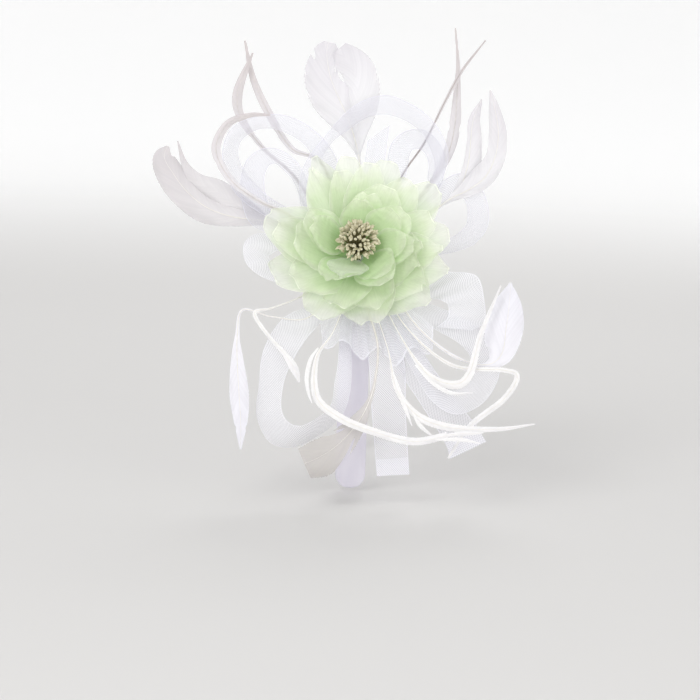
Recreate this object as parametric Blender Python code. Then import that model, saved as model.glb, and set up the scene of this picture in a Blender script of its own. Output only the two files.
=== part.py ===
"""Fascinator headpiece: a satin headband carrying an organza flower, crin loops and feathers.

Metres, +Z up. The origin is the flat inner face of the headband at its crown. The band's arc lies in
the Y-Z plane, +X is ahead of the wearer and the decoration sits on the wearer's right, at -Y.
"""

import math

import bpy
import numpy as np
from mathutils import Matrix

MM = 0.001

# Headband
BAND_WIDTH = 18.0
BAND_INNER_RADIUS = 66.0
BAND_STEP = math.radians(6.0)
ARM_LENGTH = 88.0
ARM_RADIUS = 415.0
ARM_STEPS = 9
TIP_STEPS = 5
CORE_THICKNESS = 1.4
SATIN_WALL = 0.45
SATIN_SIDE_WALL = 0.7
LINING_INSET = 2.0
LINING_THICKNESS = 0.4
FIT_CLEARANCE = 0.3
CORE_WIDTH = BAND_WIDTH - 2 * (FIT_CLEARANCE + SATIN_SIDE_WALL)
LINING_WIDTH = BAND_WIDTH - 2 * LINING_INSET
HINGE_ANGLE = math.radians(75.0)
HINGE_CLEARANCE = 1.0

# Felt base, and where it sits on the band
SEAT_ANGLE = math.radians(51.0)
FELT_RADIUS = 23.0
FELT_THICKNESS = 2.0
# The felt that the levels of the flower and the spray are drawn above; a thicker one lifts both.
DRAWN_FELT_THICKNESS = 2.0
BACKING_WIDTH = 26.0
BACKING_THICKNESS = 1.0
BACKING_SPAN = math.radians(24.0)

# Flower, along the axis that stands square on the felt
PETAL_BASE_RADIUS = 13.0
PETAL_BASE_THICKNESS = 1.2
PETAL_BASE_LEVEL = 12.2
PETAL_THICKNESS = 0.6
OUTER_LEVEL = 15.0
INNER_LEVEL = 22.0
STEM_RADIUS = 3.2
STEM_CLEARANCE = 0.4
PETAL_BASE_HOLE = STEM_RADIUS + STEM_CLEARANCE
STAMEN_LEVEL = 34.0
STAMEN_RADIUS = 11.0
STAMEN_POINTS = 72

# Spray of crin and feathers: it leans back with the felt above the flower, and hangs below it
SPRAY_LEAN = math.radians(29.0)
SPRAY_ROLL = math.radians(1.9)
SPRAY_REACH_ABOVE = 55.0
SPRAY_REACH_BELOW = 30.0
FLOWER_CENTRE_LEVEL = 32.0
CRIN_THICKNESS = 0.6
QUILL_THICKNESS = 1.4
VANE_EDGE = 0.4

SATIN = ((0.74, 0.73, 0.86), 0.45)
PLASTIC = ((0.85, 0.85, 0.84), 0.4)
FELT = ((0.86, 0.86, 0.84), 0.9)
CRIN = ((0.78, 0.77, 0.88), 0.4)
MINT = ((0.42, 0.70, 0.34), 0.6)
PALE_MINT = ((0.66, 0.82, 0.55), 0.6)
CREAM = ((0.62, 0.52, 0.30), 0.6)
PLUME = ((0.86, 0.84, 0.86), 0.6)

CENTRE_DEPTH = BAND_INNER_RADIUS * math.cos(BAND_STEP / 2)
BAND_LAYERS = {
    "lining": (0.0, LINING_THICKNESS),
    "satin": (LINING_THICKNESS + FIT_CLEARANCE, 2 * (SATIN_WALL + FIT_CLEARANCE) + CORE_THICKNESS),
}
SATIN_BASE, SATIN_DEPTH = BAND_LAYERS["satin"]
BAND_OUTER_RADIUS = BAND_INNER_RADIUS + SATIN_BASE + SATIN_DEPTH
HINGE_RADIUS = BAND_INNER_RADIUS + SATIN_BASE + SATIN_DEPTH / 2


# ---------------------------------------------------------------- meshes

def make_object(name, points, faces, look, parent=None):
    """A mesh object, in millimetres in its parent's frame."""
    mesh = bpy.data.meshes.new(name)
    mesh.from_pydata((np.asarray(points) * MM).tolist(), [], faces)
    mesh.materials.append(make_material(name, look))
    made = bpy.data.objects.new(name, mesh)
    bpy.context.scene.collection.objects.link(made)
    made.parent = parent
    return made


def make_material(name, look):
    colour, roughness = look
    material = bpy.data.materials.new(name)
    material.use_nodes = True
    shader = material.node_tree.nodes["Principled BSDF"]
    shader.inputs["Base Color"].default_value = (*colour, 1.0)
    shader.inputs["Roughness"].default_value = roughness
    shader.inputs["Metallic"].default_value = 0.0
    return material


def make_empty(name, matrix):
    made = bpy.data.objects.new(name, None)
    bpy.context.scene.collection.objects.link(made)
    made.matrix_world = matrix
    return made


def ring_faces(rings, around, ends_meet=False):
    """Faces of a loft through rings, closed by caps or by joining the last ring to the first."""
    count = rings if ends_meet else rings - 1
    faces = []
    for ring in range(count):
        for side in range(around):
            here, there = ring * around, ((ring + 1) % rings) * around
            nxt = (side + 1) % around
            faces.append((here + side, here + nxt, there + nxt, there + side))
    if not ends_meet:
        faces.append(tuple(reversed(range(around))))
        faces.append(tuple((rings - 1) * around + side for side in range(around)))
    return faces


def make_shell(name, upper, lower, look, parent=None):
    """A closed sheet between two grids of points, each of rows by columns."""
    rows, columns = upper.shape[:2]
    size = rows * columns
    index = np.arange(size).reshape(rows, columns)
    faces = []
    for row in range(rows - 1):
        for column in range(columns - 1):
            a, b = index[row, column], index[row, column + 1]
            c, d = index[row + 1, column + 1], index[row + 1, column]
            faces.append((int(d), int(c), int(b), int(a)))
            faces.append((int(b + size), int(c + size), int(d + size), int(a + size)))
    rim = [*index[0, :], *index[1:, -1], *index[-1, -2::-1], *index[-2:0:-1, 0]]
    for here, there in zip(rim, rim[1:] + rim[:1]):
        faces.append((int(there + size), int(here + size), int(here), int(there)))
    points = np.concatenate([upper.reshape(-1, 3), lower.reshape(-1, 3)])
    return make_object(name, points, faces, look, parent)


def thicken(name, grid, depths, look, parent=None):
    """A closed sheet round a grid of points, half of each depth to either side of it."""
    along = np.gradient(grid, axis=0)
    across = np.gradient(grid, axis=1)
    normal = np.cross(across, along)
    normal /= np.linalg.norm(normal, axis=2, keepdims=True)
    half = normal * np.asarray(depths)[..., None] / 2
    return make_shell(name, grid - half, grid + half, look, parent)


def spline(stations, per_span):
    """A Catmull-Rom curve through the stations, whatever each one holds."""
    knots = np.asarray(stations, float)
    padded = np.concatenate([[2 * knots[0] - knots[1]], knots, [2 * knots[-1] - knots[-2]]])
    t = np.linspace(0, 1, per_span, endpoint=False)[:, None]
    spans = []
    for p0, p1, p2, p3 in zip(padded, padded[1:], padded[2:], padded[3:]):
        spans.append(
            0.5 * (2 * p1 + (p2 - p0) * t + (2 * p0 - 5 * p1 + 4 * p2 - p3) * t**2
                   + (3 * p1 - p0 - 3 * p2 + p3) * t**3)
        )
    return np.concatenate([*spans, knots[-1:]])


# ---------------------------------------------------------------- headband

def band_frame(distance, side):
    """Centre-line point on the band's inner face, and its outward direction, past the crown."""
    quarter = BAND_INNER_RADIUS * math.pi / 2
    if distance <= quarter:
        angle = distance / BAND_INNER_RADIUS
        outward = np.array([0.0, side * math.sin(angle), math.cos(angle)])
        return np.array([0.0, 0.0, -CENTRE_DEPTH]) + outward * BAND_INNER_RADIUS, outward
    angle = (distance - quarter) / ARM_RADIUS
    outward = np.array([0.0, side * math.cos(angle), -math.sin(angle)])
    middle = np.array([0.0, side * (BAND_INNER_RADIUS - ARM_RADIUS), -CENTRE_DEPTH])
    return middle + outward * ARM_RADIUS, outward


def band_ring(distance, side, width, base, depth):
    """One rectangular section of the band, base above its inner face."""
    point, outward = band_frame(abs(distance), side if distance >= 0 else -side)
    across = np.array([width / 2, 0.0, 0.0])
    low, high = point + outward * base, point + outward * (base + depth)
    return [low - across, low + across, high + across, high - across]


def tip_width(width, to_end):
    """Width of a strip whose end is a half circle, this far from that end."""
    radius = width / 2
    return width if to_end >= radius else 2 * math.sqrt(max(radius**2 - (radius - to_end) ** 2, 0.16))


def crown_distances():
    steps = round(2 * HINGE_ANGLE / BAND_STEP)
    ends = HINGE_ANGLE * BAND_INNER_RADIUS - HINGE_CLEARANCE / 2
    inner = (np.arange(1, steps) - steps / 2) * BAND_STEP * BAND_INNER_RADIUS
    return [-ends, *inner, ends]


def arm_distances(width, inset=0.0):
    """Section places and widths from the hinge to the rounded tip."""
    start = HINGE_ANGLE * BAND_INNER_RADIUS + HINGE_CLEARANCE / 2
    quarter = BAND_INNER_RADIUS * math.pi / 2
    end = quarter + ARM_LENGTH - inset
    places = [start, start + (quarter - start) / 2, *np.linspace(quarter, end - width / 2, ARM_STEPS)]
    turn = np.linspace(0, math.pi / 2, TIP_STEPS + 1)[1:]
    places += list(end - width / 2 * (1 - np.sin(turn)))
    return [(place, tip_width(width, end - place)) for place in places]


def strip(name, sections, side, base, depth, look, parent=None):
    points = []
    for distance, width in sections:
        points += band_ring(distance, side, width, base, depth)
    faces = ring_faces(len(sections), 4)
    if side > 0:
        faces = [face[::-1] for face in faces]
    return make_object(name, in_parent(points, parent), faces, look, parent)


def sleeve(name, sections, inner_sections, side, look, parent=None, open_ends=False):
    """A satin tube: an inner skin out to its end, then the outer skin back."""
    gap = SATIN_WALL
    points = []
    for distance, width in inner_sections[::-1]:
        points += band_ring(distance, side, width, SATIN_BASE + gap, SATIN_DEPTH - 2 * gap)
    for distance, width in sections:
        points += band_ring(distance, side, width, SATIN_BASE, SATIN_DEPTH)
    faces = ring_faces(len(sections) + len(inner_sections), 4, ends_meet=open_ends)
    if side > 0:
        faces = [face[::-1] for face in faces]
    return make_object(name, in_parent(points, parent), faces, look, parent)


def in_parent(points, parent):
    """World millimetres as the parent's own, for a parent that only carries a place."""
    offset = np.zeros(3) if parent is None else np.array(parent.matrix_world.translation) / MM
    return np.asarray(points) - offset


def build_headband():
    pocket = CORE_WIDTH + 2 * FIT_CLEARANCE
    core_base = SATIN_BASE + SATIN_WALL + FIT_CLEARANCE
    crown = crown_distances()
    strip("crown_core", [(d, CORE_WIDTH) for d in crown], 1, core_base, CORE_THICKNESS, PLASTIC)
    strip("crown_lining", [(d, LINING_WIDTH) for d in crown], 1, 0.0, LINING_THICKNESS, SATIN)
    sleeve("crown_satin", [(d, BAND_WIDTH) for d in crown], [(d, pocket) for d in crown], 1, SATIN,
           open_ends=True)
    for label, side in (("right", -1), ("left", 1)):
        point, outward = band_frame(HINGE_ANGLE * BAND_INNER_RADIUS, side)
        axis = (point + outward * (HINGE_RADIUS - BAND_INNER_RADIUS)) * MM
        hinge = make_empty(f"{label}_arm_hinge", Matrix.Translation(axis))
        tip_inset = SATIN_WALL + FIT_CLEARANCE
        strip(f"{label}_arm_core", arm_distances(CORE_WIDTH, tip_inset + 0.2), side, core_base,
              CORE_THICKNESS, PLASTIC, hinge)
        strip(f"{label}_arm_lining", arm_distances(LINING_WIDTH, 2.0), side, 0.0, LINING_THICKNESS,
              SATIN, hinge)
        sleeve(f"{label}_arm_satin", arm_distances(BAND_WIDTH), arm_distances(pocket, SATIN_WALL),
               side, SATIN, hinge)


# ---------------------------------------------------------------- base and flower

def seat_matrix():
    """Where the felt sits: its origin on the band's outer face, its Z square to the felt."""
    point, outward = band_frame(SEAT_ANGLE * BAND_INNER_RADIUS, -1)
    place = (point + outward * (SATIN_BASE + SATIN_DEPTH)) * MM
    tilt = Matrix.Rotation(SEAT_ANGLE, 4, "X")
    return Matrix.Translation(place) @ tilt


def raised_seat():
    """The seat, moved with the felt's top: the flower and the spray are drawn above it."""
    lift = (FELT_THICKNESS - DRAWN_FELT_THICKNESS) * MM
    return seat_matrix() @ Matrix.Translation((0, 0, lift))


def disc(name, radius, hole, bottom, thickness, look, parent, around=32):
    turn = np.linspace(0, 2 * math.pi, around, endpoint=False)
    circle = np.stack([np.cos(turn), np.sin(turn), np.zeros(around)], axis=1)
    lift = np.array([0.0, 0.0, 1.0])
    rings = [circle * radius + lift * bottom, circle * radius + lift * (bottom + thickness)]
    if hole:
        rings += [circle * hole + lift * (bottom + thickness), circle * hole + lift * bottom]
    faces = ring_faces(len(rings), around, ends_meet=bool(hole))
    return make_object(name, np.concatenate(rings), faces, look, parent)


def build_base(seat):
    disc("felt_base", FELT_RADIUS, 0.0, FIT_CLEARANCE, FELT_THICKNESS, FELT, seat)
    middle = SEAT_ANGLE * BAND_INNER_RADIUS
    reach = BACKING_SPAN * BAND_INNER_RADIUS / 2
    places = np.linspace(middle - reach, middle + reach, 6)
    strip("felt_backing", [(d, BACKING_WIDTH) for d in places], -1,
          -FIT_CLEARANCE - BACKING_THICKNESS, BACKING_THICKNESS, FELT)


def petal_grid(turn, length, width, level, rise, curl, cup, roll):
    """Points of one petal: its midline rises and curls, and its edges lift and roll."""
    along = np.linspace(0, 1, 7)
    across = np.linspace(-1, 1, 5)
    slope = np.radians(rise + (curl - rise) * along)
    step = length / 6
    out = PETAL_BASE_HOLE + 3.0 + np.concatenate([[0], np.cumsum(np.cos(slope[1:]) * step)])
    up = level + np.concatenate([[0], np.cumsum(np.sin(slope[1:]) * step)])
    half = width / 2 * (0.09 + 0.91 * np.sin(np.pi * 0.93 * along**0.9) ** 1.1)
    side = half[:, None] * across
    lift = cup * half[:, None] * across**2 + roll * side
    direction = math.radians(turn)
    radial = np.array([math.cos(direction), math.sin(direction), 0.0])
    tangent = np.array([-math.sin(direction), math.cos(direction), 0.0])
    normal_up = np.cos(slope)[:, None] * lift
    normal_out = -np.sin(slope)[:, None] * lift
    return (
        (out[:, None] + normal_out)[..., None] * radial
        + side[..., None] * tangent
        + (up[:, None] + normal_up)[..., None] * np.array([0.0, 0.0, 1.0])
    )


# Each petal's turn round the flower, length, width and the slope its tip ends at.
OUTER_PETALS = (
    (117, 60, 26, 18), (95, 56, 22, 18), (72, 57, 26, 18), (46, 57, 30, 17), (17, 51, 28, 17),
    (-11, 51, 28, 17), (-43, 51, 34, 17), (-80, 44, 31, 17), (-114, 44, 31, 17), (-156, 46, 36, 17),
    (158, 52, 36, 18),
)
INNER_PETALS = (
    (88, 26, 22, 66), (38, 28, 24, 56), (-6, 28, 22, 50), (-52, 27, 24, 40), (-112, 25, 24, 40),
    (166, 29, 26, 56),
)


def build_petal(name, grid, look, seat):
    thicken(name, grid, np.full(grid.shape[:2], PETAL_THICKNESS), look, seat)


def build_flower(seat):
    disc("petal_base", PETAL_BASE_RADIUS, PETAL_BASE_HOLE, PETAL_BASE_LEVEL, PETAL_BASE_THICKNESS,
         MINT, seat, around=24)
    for number, (turn, length, width, curl) in enumerate(OUTER_PETALS, 1):
        grid = petal_grid(turn, length, width, OUTER_LEVEL, 10, curl, cup=0.05, roll=0.30)
        build_petal(f"outer_petal_{number:02d}", grid, PALE_MINT, seat)
    for number, (turn, length, width, curl) in enumerate(INNER_PETALS, 1):
        grid = petal_grid(turn, length, width, INNER_LEVEL, 32, curl, cup=0.16, roll=0.30)
        build_petal(f"inner_petal_{number}", grid, MINT, seat)
    build_stamens(seat)


def build_stamens(seat):
    """The stamen stems as one round bundle, opening into a bumpy half ball of tips."""
    around = 18
    levels = (PETAL_BASE_LEVEL - 1.0, PETAL_BASE_LEVEL + 8.0, STAMEN_LEVEL - 8.0)
    rings = [(STEM_RADIUS, level) for level in levels]
    for turn in np.radians((-20, 5, 30, 55, 75)):
        rings.append((STAMEN_RADIUS * math.cos(turn), STAMEN_LEVEL + STAMEN_RADIUS * math.sin(turn)))
    turns = np.linspace(0, 2 * math.pi, around, endpoint=False)
    points = []
    for number, (radius, level) in enumerate(rings):
        bump = 1 + (0.05 * np.cos(np.arange(around) * math.pi + number * math.pi) if number > 2 else 0)
        x, y = radius * bump * np.cos(turns), radius * bump * np.sin(turns)
        points.append(np.stack([x, y, np.full(around, level)], axis=1))
    make_object("stamens", np.concatenate(points), ring_faces(len(rings), around), CREAM, seat)


# ---------------------------------------------------------------- spray

def spray_matrix():
    """Frame of the spray: X across, Y up it and Z towards its front, from the flower's centre."""
    seat = raised_seat()
    centre = seat @ Matrix.Translation((0, 0, FLOWER_CENTRE_LEVEL * MM))
    lean = Matrix.Rotation(SPRAY_LEAN, 4, "X") @ Matrix.Rotation(SPRAY_ROLL, 4, "Z")
    return centre @ lean


def lay(stations):
    """Stations of across, rise and level above the felt, as points of the spray's frame."""
    across, rise, level = np.moveaxis(np.asarray(stations, float), -1, 0)
    past = rise + FLOWER_CENTRE_LEVEL * math.sin(SPRAY_LEAN)
    reach = np.where(past > 0, SPRAY_REACH_ABOVE, SPRAY_REACH_BELOW)
    lean = -math.tan(SPRAY_LEAN) * reach * np.tanh(past / reach)
    depth = level - FLOWER_CENTRE_LEVEL * math.cos(SPRAY_LEAN) + lean
    return np.stack([across, rise, depth], axis=-1)


def crin(name, outer, inner, spray, per_span=3):
    """A crin ribbon ruled between its two edges, pinched where it is sewn to the felt."""
    grid = np.stack([lay(spline(outer, per_span)), lay(spline(inner, per_span))], axis=1)
    return thicken(name, grid, np.full(grid.shape[:2], CRIN_THICKNESS), CRIN, spray)


def feather(name, stations, spray, per_span=2):
    """A feather along its quill: across, rise, level, then the vane's width to either side."""
    laid = spline(stations, per_span)
    quill = lay(laid[:, :3])
    along = np.gradient(quill, axis=0)
    sideways = np.stack([-along[:, 1], along[:, 0], np.zeros(len(quill))], axis=1)
    sideways /= np.linalg.norm(sideways, axis=1, keepdims=True)
    left = np.maximum(laid[:, 3:4], 0.35)
    right = np.maximum(laid[:, 4:5], 0.35)
    rows = (laid[:, :2] + sideways[:, :2] * left, laid[:, :2], laid[:, :2] - sideways[:, :2] * right)
    grid = np.stack([lay(np.concatenate([row, laid[:, 2:3]], axis=1)) for row in rows], axis=1)
    taper = np.linspace(1.0, 0.45, len(quill))
    depths = np.stack([np.full(len(quill), VANE_EDGE), QUILL_THICKNESS * taper,
                       np.full(len(quill), VANE_EDGE)], axis=1)
    return thicken(name, grid, depths, PLUME, spray)


# Crin: stations of across, rise and level along the ribbon's outer edge, then its inner edge.
CRIN_RIBBONS = {
    "crin_top_loop": (
        ((-13, -5, 9.4), (-30, 14, 10.0), (-35, 30, 11.0), (-32, 47, 12), (-17, 68, 13), (0, 84, 14),
         (16, 89, 14), (31, 84, 14), (42, 77, 13), (51, 64, 12), (54, 50, 11), (45, 30, 9.6),
         (14, -4, 9.0)),
        ((-10, -7, 9.6), (-24, 10, 10.2), (-29, 26, 13), (-26, 43, 18), (-14, 60, 22), (0, 72, 24),
         (14, 76, 24), (27, 74, 23), (36, 67, 21), (43, 56, 18), (46, 45, 14), (38, 30, 9.8),
         (11, -6, 9.2)),
    ),
    "crin_up_tail": (
        ((2, -2, 10.4), (3, 20, 10.4), (3, 40, 11), (6, 62, 13)),
        ((5, -2, 10.4), (13, 20, 10.4), (15, 40, 11), (19, 71, 13)),
    ),
    "crin_inner_arch": (
        ((8, -3, 7.4), (13, 22, 7.4), (17, 45, 8.0), (20, 60, 8.4), (29, 68, 8.4), (41, 68, 8.4),
         (50, 59, 8.4), (52, 46, 8.0), (46, 28, 6.4), (15, -8, 6.4)),
        ((11, -4, 7.2), (23, 22, 7.2), (29, 42, 7.6), (31, 53, 8.0), (34, 57, 8.0), (39, 56, 8.0),
         (42, 50, 8.0), (42, 42, 7.6), (38, 28, 6.4), (12, -8, 6.4)),
    ),
    "crin_left_outer_ring": (
        ((-15, -10, 8.6), (-36, 9, 8.8), (-56, 17, 9), (-72, 29, 10), (-79, 43, 11), (-81, 56, 11),
         (-75, 70, 11), (-60, 77, 11), (-43, 77, 10.5), (-28, 70, 9.5), (-14, 54, 7.5), (-7, 30, 6.8),
         (-5, -3, 6.8)),
        ((-14, -8, 8.6), (-30, 14, 8.8), (-50, 26, 11), (-62, 36, 16), (-69, 47, 18), (-71, 58, 18),
         (-66, 65, 18), (-56, 68, 18), (-44, 67, 16), (-33, 60, 12), (-25, 48, 8.5), (-16, 28, 7.2),
         (-8, -4, 6.8)),
    ),
    "crin_left_inner_ring": (
        ((-15, -13, 6.6), (-40, 2, 6.6), (-62, 10, 7), (-69, 24, 7), (-70, 38, 7), (-67, 50, 7),
         (-58, 57, 7), (-47, 57, 7), (-37, 50, 6.6), (-30, 38, 6), (-22, 20, 5.8), (-11, -5, 5.8)),
        ((-15, -11, 6.6), (-36, 7, 6.6), (-49, 14, 7.6), (-54, 26, 8.4), (-56, 38, 8.6), (-54, 45, 8.6),
         (-51, 48, 8.6), (-47, 47, 8.6), (-42, 42, 8), (-37, 34, 7), (-30, 18, 6.0), (-13, -7, 5.8)),
    ),
    "crin_right_loop": (
        ((13, -5, 4.4), (36, 22, 4.4), (54, 40, 5), (67, 41, 6), (76, 29, 7), (78, 13, 7),
         (71, 1, 6), (58, -5, 5), (38, -9, 4.4), (16, -13, 4.4)),
        ((15, -8, 4.4), (40, 14, 4.4), (53, 26, 5), (60, 29, 7), (65, 23, 9), (65, 13, 9),
         (61, 7, 8), (54, 3, 6), (38, -1, 4.6), (16, -10, 4.4)),
    ),
    "crin_left_flap": (
        ((-14, -14, 10.4), (-38, -2, 10.6), (-56, 6, 11), (-67, 0, 11), (-66, -12, 10), (-57, -20, 9),
         (-44, -25, 7), (-28, -29, 6.4), (-13, -21, 6.0)),
        ((-15, -17, 10.4), (-36, -10, 10.6), (-46, -5, 12), (-52, -7, 13), (-52, -10, 12),
         (-47, -14, 11), (-38, -17, 8), (-26, -22, 6.6), (-14, -19, 6.2)),
    ),
    "crin_lower_left_loop": (
        ((-11, -24, 5.0), (-26, -36, 5.0), (-44, -45, 5), (-55, -63, 6), (-58, -84, 6),
         (-59, -102, 6), (-52, -117, 6), (-38, -120, 6), (-22, -113, 5), (-9, -101, 5),
         (-4, -84, 4.6), (-4, -60, 4.6), (-6, -26, 5.0)),
        ((-9, -25, 5.0), (-18, -42, 5.0), (-30, -57, 7), (-39, -71, 10), (-43, -84, 13),
         (-45, -96, 15), (-41, -104, 16), (-33, -107, 16), (-23, -103, 14), (-16, -94, 10),
         (-13, -80, 6.6), (-11, -60, 4.8), (-8, -26, 5.0)),
    ),
    "crin_fan": (
        ((-22, -48, 11), (-19, -63, 13.4), (-8, -58, 12), (2, -69, 14), (12, -62, 12.6),
         (22, -73, 14), (31, -62, 12.6), (42, -66, 14), (44, -50, 12)),
        ((-10, -26, 8.4), (-7, -27, 8.9), (-4, -27, 8.4), (0, -27, 8.9), (3, -27, 8.4),
         (6, -27, 8.9), (9, -26, 8.4), (12, -25, 8.9), (14, -23, 8.4)),
    ),
    "crin_tail": (
        ((0, -27, 5.6), (1, -44, 5.6), (6, -70, 5.8), (8, -100, 6), (11, -137, 6)),
        ((4, -27, 5.6), (18, -44, 5.6), (27, -70, 5.8), (28, -100, 6), (30, -136, 6)),
    ),
    "crin_corner": (
        ((16, -16, 5.8), (36, -14, 6), (52, -17, 8), (64, -18, 9), (71, -21, 9), (74, -34, 9),
         (74, -47, 9), (66, -52, 8)),
        ((16, -18, 5.8), (33, -28, 6), (44, -33, 8), (50, -35, 9), (52, -36, 9), (53, -40, 9),
         (52, -45, 9), (46, -50, 8)),
    ),
    "crin_lower_right_loop": (
        ((14, -20, 4.4), (34, -32, 4.4), (56, -42, 4.6), (74, -52, 5), (82, -64, 6), (82, -80, 7),
         (72, -95, 8), (57, -101, 8), (43, -93, 8), (32, -76, 7.4), (22, -56, 7.2), (9, -26, 7.0)),
        ((12, -21, 4.4), (28, -38, 4.4), (46, -52, 6), (60, -60, 8), (65, -67, 11), (65, -76, 13),
         (60, -83, 14), (53, -85, 14), (46, -79, 12), (38, -66, 8.0), (30, -50, 7.2), (11, -25, 7.0)),
    ),
    "crin_cross_tail": (
        ((5, -27, 4.4), (11, -44, 4.4), (22, -72, 4.4), (36, -94, 3), (50, -116, 2), (54, -127, 2)),
        ((8, -26, 4.4), (24, -40, 4.4), (39, -66, 4.4), (54, -88, 3), (68, -106, 2), (75, -117, 2)),
    ),
}

# Feathers: stations of across, rise, level, then the vane's width to its left and right.
FEATHERS = {
    "goose_feather_top": (
        (1, -2, 5.4, 0.7, 0.7), (2, 30, 5.4, 0.8, 0.8), (2, 50, 6, 1, 1), (0, 68, 7, 10, 8),
        (-5, 86, 8, 22, 17), (-9, 102, 9, 24, 22), (-13, 114, 10, 17, 19), (-17, 121, 11, 3, 5)),
    "goose_feather_left": (
        (-16, -9, 4.8, 0.7, 0.7), (-38, 8, 4.0, 0.8, 0.8), (-56, 16, 3.4, 4, 4),
        (-76, 21, 3, 10, 12), (-97, 29, 4, 14, 11), (-112, 44, 5, 14, 4), (-118, 58, 6, 3, 2)),
    "goose_feather_right": (
        (16, -9, 11.4, 0.7, 0.7), (40, 14, 11.4, 0.8, 0.8), (57, 27, 12, 1, 1), (71, 36, 12, 4, 5),
        (80, 48, 13, 5, 7), (83, 64, 14, 5, 6), (81, 82, 15, 3, 3), (79, 93, 16, 0.6, 0.6)),
    "goose_feather_right_back": (
        (15, -6, 8.8, 0.7, 0.7), (38, 16, 8.8, 0.8, 0.8), (56, 30, 9.4, 1, 1), (67, 42, 9.6, 3, 3),
        (69, 58, 9.6, 4, 4), (71, 76, 9.6, 4, 3), (75, 88, 9.6, 0.6, 0.6)),
    "goose_feather_low_right": (
        (14, -20, 11.4, 0.7, 0.7), (34, -49, 14, 0.8, 0.8), (54, -66, 17, 1, 1),
        (72, -71, 18, 1.4, 1.4), (83, -66, 18, 8, 8), (87, -50, 18, 11, 11), (89, -34, 18, 8, 5),
        (89, -23, 18, 0.6, 0.6)),
    "stripped_feather_back_bend": (
        (12, -22, 11.4, 0.7, 0.7), (28, -50, 16, 0.8, 0.8), (54, -72, 20, 1, 1),
        (84, -75, 21, 1.2, 1.2), (92, -79, 21, 1.4, 1.4), (84, -92, 21, 1.6, 1.6),
        (65, -107, 21, 1.4, 1.4), (52, -126, 21, 0.5, 0.5)),
    "stripped_feather_curl": (
        (9, -24, 11.2, 0.7, 0.7), (25, -56, 19, 0.8, 0.8), (40, -77, 23.4, 1.2, 1.2),
        (55, -82, 24, 2, 4), (64, -76, 24, 2, 3), (71, -54, 24, 2, 2), (83, -24, 24, 0.5, 0.5)),
    "stripped_feather_long": (
        (5, -26, 11.2, 0.7, 0.7), (17, -62, 20, 0.8, 0.8), (22, -85, 25.4, 1.2, 1.2),
        (34, -101, 26.2, 2, 3), (53, -108, 26.4, 3, 2), (80, -110, 26.4, 1.6, 1.6),
        (102, -106, 26.4, 0.5, 0.5)),
    "stripped_feather_sweep": (
        (-4, -26, 11.2, 0.7, 0.7), (-14, -52, 20, 0.8, 0.8), (-24, -68, 25, 1.6, 1.6),
        (-24, -90, 28, 2.4, 2.4), (-11, -102, 29, 2, 2), (8, -110, 29, 1.8, 1.8),
        (32, -116, 29, 2, 2), (54, -112, 29, 1.6, 1.6), (70, -113, 29, 0.5, 0.5)),
    "goose_feather_low_left": (
        (-12, -20, 10.6, 0.7, 0.7), (-28, -44, 14, 0.8, 0.8), (-50, -44, 16, 1, 1),
        (-67, -40, 16.4, 1.2, 1.2), (-70, -54, 16.6, 1.4, 1.4), (-70, -70, 16.8, 4, 4),
        (-69, -88, 17, 6, 6), (-68, -104, 17, 4.4, 4.4), (-68, -121, 17, 0.5, 0.5)),
    "arrow_feather": (
        (-14, -17, 12.4, 0.7, 0.7), (-31, -31, 15, 0.8, 0.8), (-50, -39, 19, 0.9, 0.9),
        (-60, -42, 20, 1, 1), (-52, -55, 20, 1, 1), (-43, -65, 20, 1.4, 1.4),
        (-37, -74, 20, 2.2, 2.2), (-34, -82, 20, 0.5, 0.5)),
    "goose_feather_fan": (
        (1, -27, 11.2, 0.7, 0.7), (11, -58, 17, 0.8, 0.8), (10, -82, 21, 1, 1),
        (3, -102, 22, 4, 3), (-8, -116, 22, 9, 11), (-19, -127, 22, 13, 11), (-26, -137, 22, 9, 6)),
    "coque_feather_left": (
        (-12, -4, 3.9, 0.7, 0.7), (-36, 38, 3.6, 0.8, 0.8), (-56, 57, 3.4, 1, 1),
        (-70, 76, 4, 2, 2), (-72, 92, 6, 2.4, 2.4), (-63, 115, 9, 0.5, 0.5)),
    "coque_feather_inner_left": (
        (-8, -3, 4.4, 0.7, 0.7), (-20, 46, 4.2, 0.8, 0.8), (-40, 58, 3.8, 1.4, 1.4),
        (-54, 80, 3.2, 2, 2), (-63, 100, 3, 1.6, 1.6), (-68, 123, 4, 0.5, 0.5)),
    "coque_feather_round": (
        (-14, -7, 11.8, 0.7, 0.7), (-40, 16, 12.4, 0.8, 0.8), (-57, 24, 17, 1.2, 1.2),
        (-72, 34, 24, 1.6, 1.6), (-81, 46, 25, 2, 2), (-84, 58, 25, 2.2, 2.2),
        (-77, 71, 25, 1.8, 1.8), (-64, 76, 25, 1.2, 1.2), (-52, 76, 25, 0.5, 0.5)),
    "quill_feather_right": (
        (9, -3, 5.2, 0.7, 0.7), (25, 38, 5.2, 0.8, 0.8), (40, 61, 5.0, 0.9, 0.9),
        (53, 87, 5.0, 1.2, 1.2), (63, 105, 5.0, 1.1, 1.1), (77, 123, 5.0, 0.5, 0.5)),
    "spike_feather_right": (
        (12, -4, 4.8, 0.7, 0.7), (42, 34, 0.6, 0.8, 0.8), (54, 54, 0.4, 3, 3),
        (59, 72, 0.4, 3.4, 3.4), (60, 92, 0.4, 1.8, 1.8), (61, 110, 0.4, 0.9, 0.9),
        (59, 131, 0.4, 0.5, 0.5)),
}


def build_spray():
    spray = make_empty("spray", spray_matrix())
    for name, (outer, inner) in CRIN_RIBBONS.items():
        crin(name, outer, inner, spray)
    for name, stations in FEATHERS.items():
        feather(name, stations, spray)


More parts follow.
